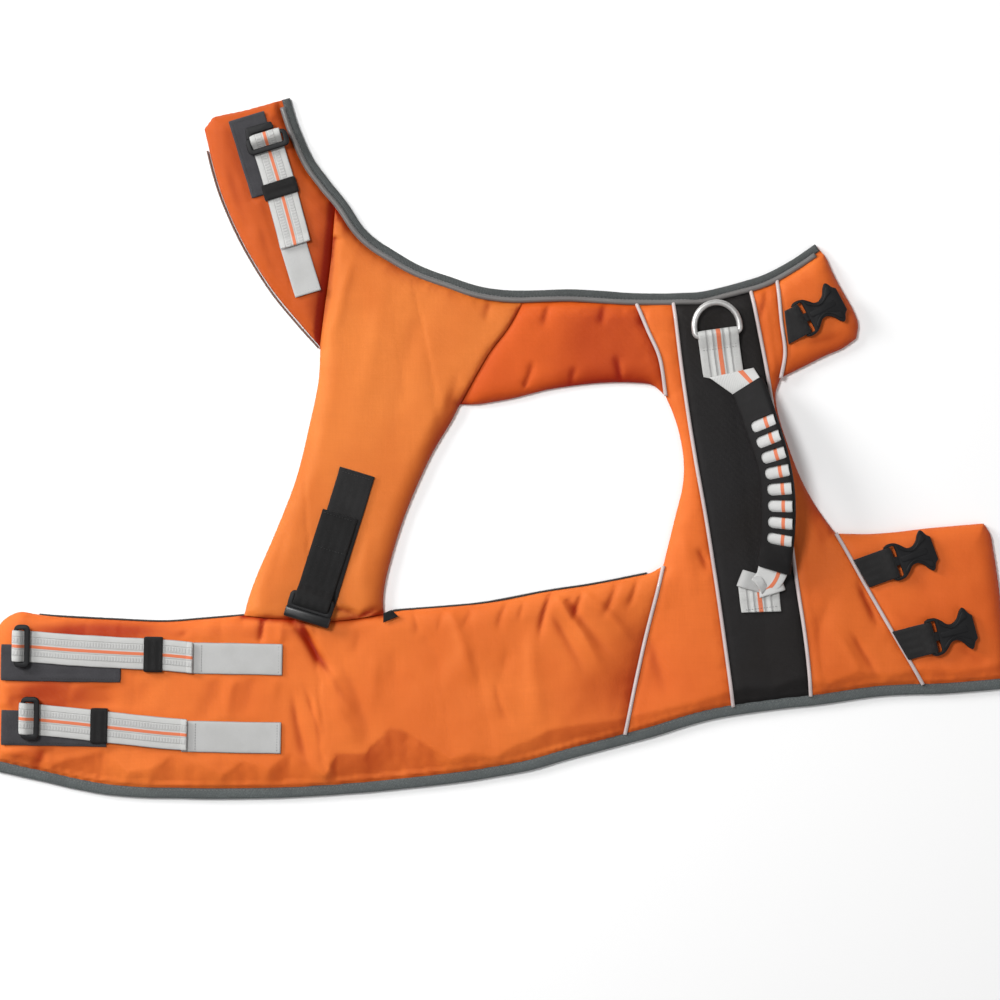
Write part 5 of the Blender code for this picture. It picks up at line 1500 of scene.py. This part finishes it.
class JACKET_OT_handle(bpy.types.Operator):
    """The carrying handle: striped webbing in a black grip with eight windows, and its sewn ends"""

    bl_idname = "jacket.handle"
    bl_label = "Handle"

    def execute(self, context):
        spots = np.arange(0.0, HANDLE_LENGTH, 1.1)
        places, across, up, width, _ = handle_frames(spots)
        lift = np.zeros(len(spots))
        for k in range(WINDOWS):        # the webbing bulges into each window
            near = (spots - FIRST_WINDOW - k * WINDOW_PITCH) / 5.2
            lift += 2.0 * np.maximum(0.0, 1 - near ** 2) ** 0.6
        places = places + up * (lift * MM)[:, None]
        obj = swept("handle_strap", finish_of("handle webbing"), places, across, up,
                    flat_section(1.0 * MM, sizes().webbing_thickness), width)
        for item in obj.data.attributes["strip"].data:
            item.vector = item.vector - Vector((STRIPE_SHIFT * MM, 0.0, 0.0))
        self.lay_start(obj)
        cloth(obj, "striped_webbing", "handle_webbing", (25, 200), "stretched", ["back_centre"])
        self.make_sleeve()
        self.make_anchor()
        return {"FINISHED"}

    def lay_start(self, obj):
        """Lays the webbing's first rows straight from the slanted fold where it leaves the ring webbing."""
        left, right = np.array(FOLD_LINE) * MM
        place, across, up, _, _ = handle_frames(np.array([FOLD_REACH]))
        strip = obj.data.attributes["strip"].data
        for vert in obj.data.vertices:
            side, s, rise = strip[vert.index].vector
            keep = s / MM / FOLD_REACH
            if keep >= 1:
                continue
            side += STRIPE_SHIFT * MM
            start = left + (right - left) * (side / MM / STRAP_WIDTH + 0.5) + np.array([0.0, 0.0, rise])
            end = place[0] + across[0] * side + up[0] * rise
            vert.co = Vector(start + (end - start) * keep)

    def make_sleeve(self):
        """The grip: a flat tube whose upper wall is cut through by the windows."""
        grip = finish_of("grip")
        spots = np.linspace(*SLEEVE_SPAN, 110)
        places, across, up, _, _ = handle_frames(spots)
        swell = (1 + 0.03 * soft_noise(spots, 4.4, 30.0, 5))[:, None, None]
        points = []
        for section in (slot_section(*SLEEVE_SIZE), slot_section(*SLEEVE_HOLE)):
            ring = (places[:, None] + across[:, None] * (section[None, :, :1] * swell)
                    + up[:, None] * section[None, :, 1:])
            points.append(ring.reshape(-1, 3))
        n, m = len(spots), len(section)
        outer = tube_faces(n, m)
        faces = outer + [tuple(n * m + k for k in quad[::-1]) for quad in outer]
        for first in (0, (n - 1) * m):      # the two rims
            rim = [(first + k, first + (k + 1) % m, first + (k + 1) % m + n * m, first + k + n * m)
                   for k in range(m)]
            faces += rim if first else [quad[::-1] for quad in rim]
        obj = outward(mesh_piece("handle_grip", np.vstack(points), faces, grip))
        window = oblong(0.0, WINDOW_SHIFT, WINDOW_SIZE[0] / 2, WINDOW_SIZE[1] / 2, 4.6)
        cutters = []
        for k in range(WINDOWS):
            place, side, above, _, slope = handle_frames(np.array([FIRST_WINDOW + k * WINDOW_PITCH]))
            turned = Matrix((slope[0], side[0], above[0])).transposed().to_4x4()
            matrix = Matrix.Translation(place[0]) @ turned @ Matrix.Translation((0, 0, 5.0 * MM))
            cutters.append(plate("window", grip, [window], 4.2, 0.05, matrix))
            modifier = obj.modifiers.new("window", "BOOLEAN")
            modifier.operation = "DIFFERENCE"
            modifier.solver = "EXACT"
            modifier.object = cutters[-1]
        cut = applied(obj)
        obj.modifiers.clear()
        obj.data = cut
        for cutter in cutters:
            bpy.data.objects.remove(cutter)
        cut.polygons.foreach_set("use_smooth", [True] * len(cut.polygons))
        cut.set_sharp_from_angle(angle=math.radians(40))
        show(obj, "black_rubber", "handle_sleeve")

    def make_anchor(self):
        """The sewn end: a flat square of webbing under crossed folds."""
        rows = [(3, MIDDLE), (8, MIDDLE), (16, MIDDLE + 0.5), (20, MIDDLE), (27, MIDDLE), (29, MIDDLE + 0.3)]
        bits = [webbing("handle_foot", "ring webbing", Run(*FOOT_LINE), rows, 32.0, slants=(0.0, 0.09),
                        wobble=0.4, sway=0.5, seed=71)]
        for k, (line, rows, width, slants, finish) in enumerate(ANCHOR_BITS):
            bits.append(webbing("handle_foot", finish, Run(*line), rows, width, slants=slants, wobble=0.3,
                                seed=72 + k))
        cloth(joined("handle_foot", bits), "striped_webbing", "handle_anchor", (34, 66), "folded",
              ["back_centre"])


FOOT_LINE = (204.6, -103, -83)
ANCHOR_BITS = (
    # line (x, y, heading), rows (s, z), width, slants, finish: the crossed folds over the sewn end
    ((190.8, -104.6, -16), ((0, 12.9), (2, 14.6), (6, 15.2), (13, 14.2), (22, 13.4)), 14.0, (0.10, 0.3),
     "plain webbing"),
    ((224.2, -108.0, -163), ((0, 13.4), (2, 15.2), (7, 15.9), (14, 15.2), (19, 14.2)), 13.5, (-0.1, 0.25),
     "handle webbing"),
    ((203.5, -103.5, -58), ((0, 15.6), (4, 16.8), (8, 16.6), (13, 14.8)), 7.0, (0.3, -0.3), "plain webbing"),
)


BUCKLE_HALF = (
    # half outline of the side-release plug: s from the bar, half width
    (-2.2, 13.6), (0.0, 14.8), (3.0, 15.2), (7.5, 14.2), (11.5, 11.0), (14.5, 7.8), (17.5, 6.8),
    (20.5, 7.4), (24.0, 10.2), (26.5, 14.2), (29.0, 16.8), (30.2, 17.0), (31.6, 15.6), (33.4, 12.0),
    (36.0, 9.6),
)
BUCKLE_SLOT = ((-2.2, -12.7), (5.2, -12.7), (6.2, -11.7), (6.2, 11.7), (5.2, 12.7), (-2.2, 12.7))
# the raised rib of a prong: its outer line, and back along its inner one
PRONG_OUTER = ((8.5, 12.0), (12.0, 9.0), (15.0, 5.9), (18.0, 4.9), (21.0, 5.4), (24.5, 8.2), (27.4, 12.4),
               (29.6, 14.0), (31.2, 12.6), (31.4, 9.0))
PRONG_INNER = ((30.6, 8.4), (27.5, 7.2), (24.0, 5.2), (20.5, 3.6), (17.0, 3.3), (13.0, 5.2), (9.0, 8.8))
BUCKLES = {
    # its bar's line (x, y, heading), length of the webbing, slant of its cut end, the panel under it
    "neck_buckle": ((239.6, 101.2, 28), 12, 0.38, "wing_right"),
    "belly_buckle_1": ((311.5, -92.8, 20), 20, -0.18, "belly_right"),
    "belly_buckle_2": ((343.0, -152.5, 15), 20, -0.27, "belly_right"),
}


class JACKET_OT_buckles(bpy.types.Operator):
    """Three side-release plugs on their webbing loops"""

    bl_idname = "jacket.buckles"
    bl_label = "Buckles"

    def execute(self, context):
        bar_z = FLAT + 2 * HALF_WEB + 0.4 + 1.5
        upper = MIDDLE + LAYER
        for seed, (name, (line, stub, slant, panel)) in enumerate(BUCKLES.items()):
            run = Run(*line)
            tuck = stub + (5.0 if stub > 15 else 1.0)       # how far it goes in under the piping
            rows = [(-tuck, MIDDLE - 0.6), (-stub / 2 - 1.5, MIDDLE), (-3.0, MIDDLE),
                    *turn_round(0.0, bar_z, BAR_REACH, -90, 90), (-3.0, bar_z + BAR_REACH - 0.1),
                    (-8.0, upper + 0.7), (-stub, upper), (-tuck, MIDDLE + 1.0)]
            obj = webbing(name + "_loop", "black webbing", run, rows, STRAP_WIDTH, slants=(slant, slant),
                          wobble=0.1, seed=81 + seed)
            cloth(obj, "black_webbing", name + "_webbing", (STRAP_WIDTH, 2 * stub + 8), "folded", [panel])
            self.make_plug(name, run, bar_z)
        return {"FINISHED"}

    def make_plug(self, name, run, bar_z):
        half = smooth_line(np.array(BUCKLE_HALF), 0.8)
        outer = smooth_line(np.array(PRONG_OUTER), 0.9)
        left_rib = np.vstack([outer, PRONG_INNER])
        right_rib = left_rib[::-1] * (1, -1)
        plastic = finish_of("plastic")
        parts = []
        for loop, half_thickness, bevel, height in (
                ([*half, *half[::-1] * (1, -1), *BUCKLE_SLOT], 1.9, 0.5, -0.3),
                (right_rib, 1.1, 0.5, 1.3), (left_rib, 1.1, 0.5, 1.3),
                (oblong(19.0, 0.0, 11.0, 2.6, 2.0), 1.0, 0.5, 0.95),        # the tongue between the prongs
                (oblong(4.7, 0.0, 1.9, 3.6, 0.8), 1.3, 0.4, -0.2)):         # from the tongue to the bar
            matrix = run.matrix(0, 0, bar_z + height)
            parts.append(plate(name, plastic, [loop], half_thickness, bevel, matrix, name))
        bar = oblong(0.0, 0.0, 1.5, 1.5, 1.2, 4)
        parts.append(plate(name, plastic, [bar], 13.2, 0.2, run.matrix(0, 0, bar_z) @ UPRIGHT, name))
        show(joined(name + "_plug", parts), "black_plastic", name)


TAPE_TOP, SECOND_TOP = FLAT + 1.5, FLAT + 3.25
STRAP_STITCHES = (
    # mesh, thread, slot, and each line of stitches: its run, from (s, t) to (s, t), its height
    ("light_stitches", "grey thread", "striped_webbing", (
        (RING_LINE, (9.5, -14), (9.5, 14), SECOND_TOP + 0.9),
        (RING_LINE, (11.6, -14), (11.6, 14), SECOND_TOP + 0.5),
        (FOOT_LINE, (26, -13), (26, 13), TAPE_TOP),
        (UPPER_LINE, (221.5, -14), (221.5, 8), TAPE_TOP), (UPPER_LINE, (160, -14), (160, 8), TAPE_TOP),
        (LOWER_LINE, (220.3, -18.6), (220.3, 3.4), TAPE_TOP),
        (LOWER_LINE, (155, -18.6), (155, 3.4), TAPE_TOP),
        (NECK_LINE, (147, -3), (147, 15), TAPE_TOP))),
    ("black_stitches", "black thread", "black_webbing", (
        (UPPER_LINE, (92.5, -21), (92.5, -14), TAPE_TOP), (UPPER_LINE, (31, -21.2), (92, -21.2), TAPE_TOP),
        (LOWER_LINE, (4, -15), (81, -15), TAPE_TOP),
        (NECK_LINE, (3, -12.5), (61, -12.5), TAPE_TOP), (NECK_LINE, (2.5, -12), (2.5, 12), TAPE_TOP),
        (CHEST_LINE, (3, -12), (3, 12), TAPE_TOP), (CHEST_LINE, (38.5, -16), (38.5, 8), SECOND_TOP + 0.3),
        (CHEST_LINE, (66, -15.5), (66, 8.5), SECOND_TOP + 0.6))),
)


class JACKET_OT_stitching(bpy.types.Operator):
    """Lockstitch along the tapes, straps and ends of webbing"""

    bl_idname = "jacket.stitching"
    bl_label = "Stitching"

    def execute(self, context):
        plan = plan_of_jacket()
        lines = []
        for route, inset in ((plan.neck_tape, -3.8), (plan.hem, 5.6)):
            line = route + leftward(route) * inset * MM
            lines.append(np.column_stack([line, np.full(len(line), 5.05 * MM)]))
        show(stitches("binding_stitches", finish_of("grey thread"), lines), "grey_binding")
        for name, thread, slot, rows in STRAP_STITCHES:
            lines = [[Run(*line).at(*start, z), Run(*line).at(*end, z)] for line, start, end, z in rows]
            show(stitches(name, finish_of(thread), lines, length=1.7, pitch=2.3, width=0.5), slot)
        return {"FINISHED"}


LAMPS = (
    # name, place, size, power
    ("key", (-0.85, 0.62, 2.2), 0.6, 36.0), ("rake", (-2.1, 1.15, 1.15), 1.0, 46.0),
    ("fill", (2.0, -0.6, 1.8), 1.8, 9.0),
)
LAMPS_AIM = (0, -0.03, 0)
LENS, SENSOR = 100.0, 36.0          # millimetres
VIEW = (-0.00066, -0.0411, 0.008)   # middle of the view, at the height that the view's width is for
VIEW_WIDTH = 0.8


class JACKET_OT_stage(bpy.types.Operator):
    """Pale floor, soft studio lights and the camera straight above"""

    bl_idname = "jacket.stage"
    bl_label = "Stage"

    def execute(self, context):
        scene = context.scene
        bpy.ops.mesh.primitive_plane_add(size=8.0, location=(0, 0, -0.0004))
        floor = context.active_object
        floor.name = "floor"
        floor.data.materials.append(finish_of("floor"))
        scene.world = bpy.data.worlds.new("studio")
        scene.world.use_nodes = True
        sky = scene.world.node_tree.nodes["Background"].inputs
        sky["Color"].default_value = (1.0, 1.0, 1.0, 1.0)
        sky["Strength"].default_value = 0.29
        for name, place, size, power in LAMPS:
            data = bpy.data.lights.new(name, "AREA")
            data.shape = "DISK"
            data.size = size
            data.energy = power
            lamp = bpy.data.objects.new(name, data)
            lamp.location = place
            lamp.rotation_euler = (Vector(LAMPS_AIM) - Vector(place)).to_track_quat("-Z", "Y").to_euler()
            scene.collection.objects.link(lamp)
        data = bpy.data.cameras.new("camera")
        data.lens = LENS
        data.sensor_width = SENSOR
        data.clip_end = 50.0
        camera = bpy.data.objects.new("camera", data)
        camera.location = (VIEW[0], VIEW[1], VIEW[2] + VIEW_WIDTH * LENS / SENSOR)
        scene.collection.objects.link(camera)
        scene.camera = camera
        scene.view_settings.view_transform = "Standard"
        scene.view_settings.look = "None"
        return {"FINISHED"}


OPERATORS = (JACKET_OT_stage, JACKET_OT_panels, JACKET_OT_bindings, JACKET_OT_pipings,
             JACKET_OT_adjusters, JACKET_OT_chest_strap, JACKET_OT_ring, JACKET_OT_handle,
             JACKET_OT_buckles, JACKET_OT_stitching)


class JACKET_PT_pieces(bpy.types.Panel):
    """The life jacket's sizes, colours and pieces"""

    bl_label = "Life Jacket"
    bl_idname = "JACKET_PT_pieces"
    bl_space_type = "VIEW_3D"
    bl_region_type = "UI"
    bl_category = "Life Jacket"

    def draw(self, context):
        for group in (context.scene.jacket_sizes, context.scene.jacket_colours):
            column = self.layout.column()
            for name in group.__annotations__:
                column.prop(group, name)
        for operator in OPERATORS:
            self.layout.operator(operator.bl_idname)


CLASSES = (JacketSizes, JacketColours, *OPERATORS, JACKET_PT_pieces)


def register():
    for cls in CLASSES:
        bpy.utils.register_class(cls)
    bpy.types.Scene.jacket_sizes = PointerProperty(type=JacketSizes)
    bpy.types.Scene.jacket_colours = PointerProperty(type=JacketColours)


def unregister():
    del bpy.types.Scene.jacket_sizes
    del bpy.types.Scene.jacket_colours
    for cls in reversed(CLASSES):
        bpy.utils.unregister_class(cls)


def main():
    register()
    for operator in OPERATORS:
        group, name = operator.bl_idname.split(".")
        getattr(getattr(bpy.ops, group), name)()


if __name__ == "__main__":
    main()
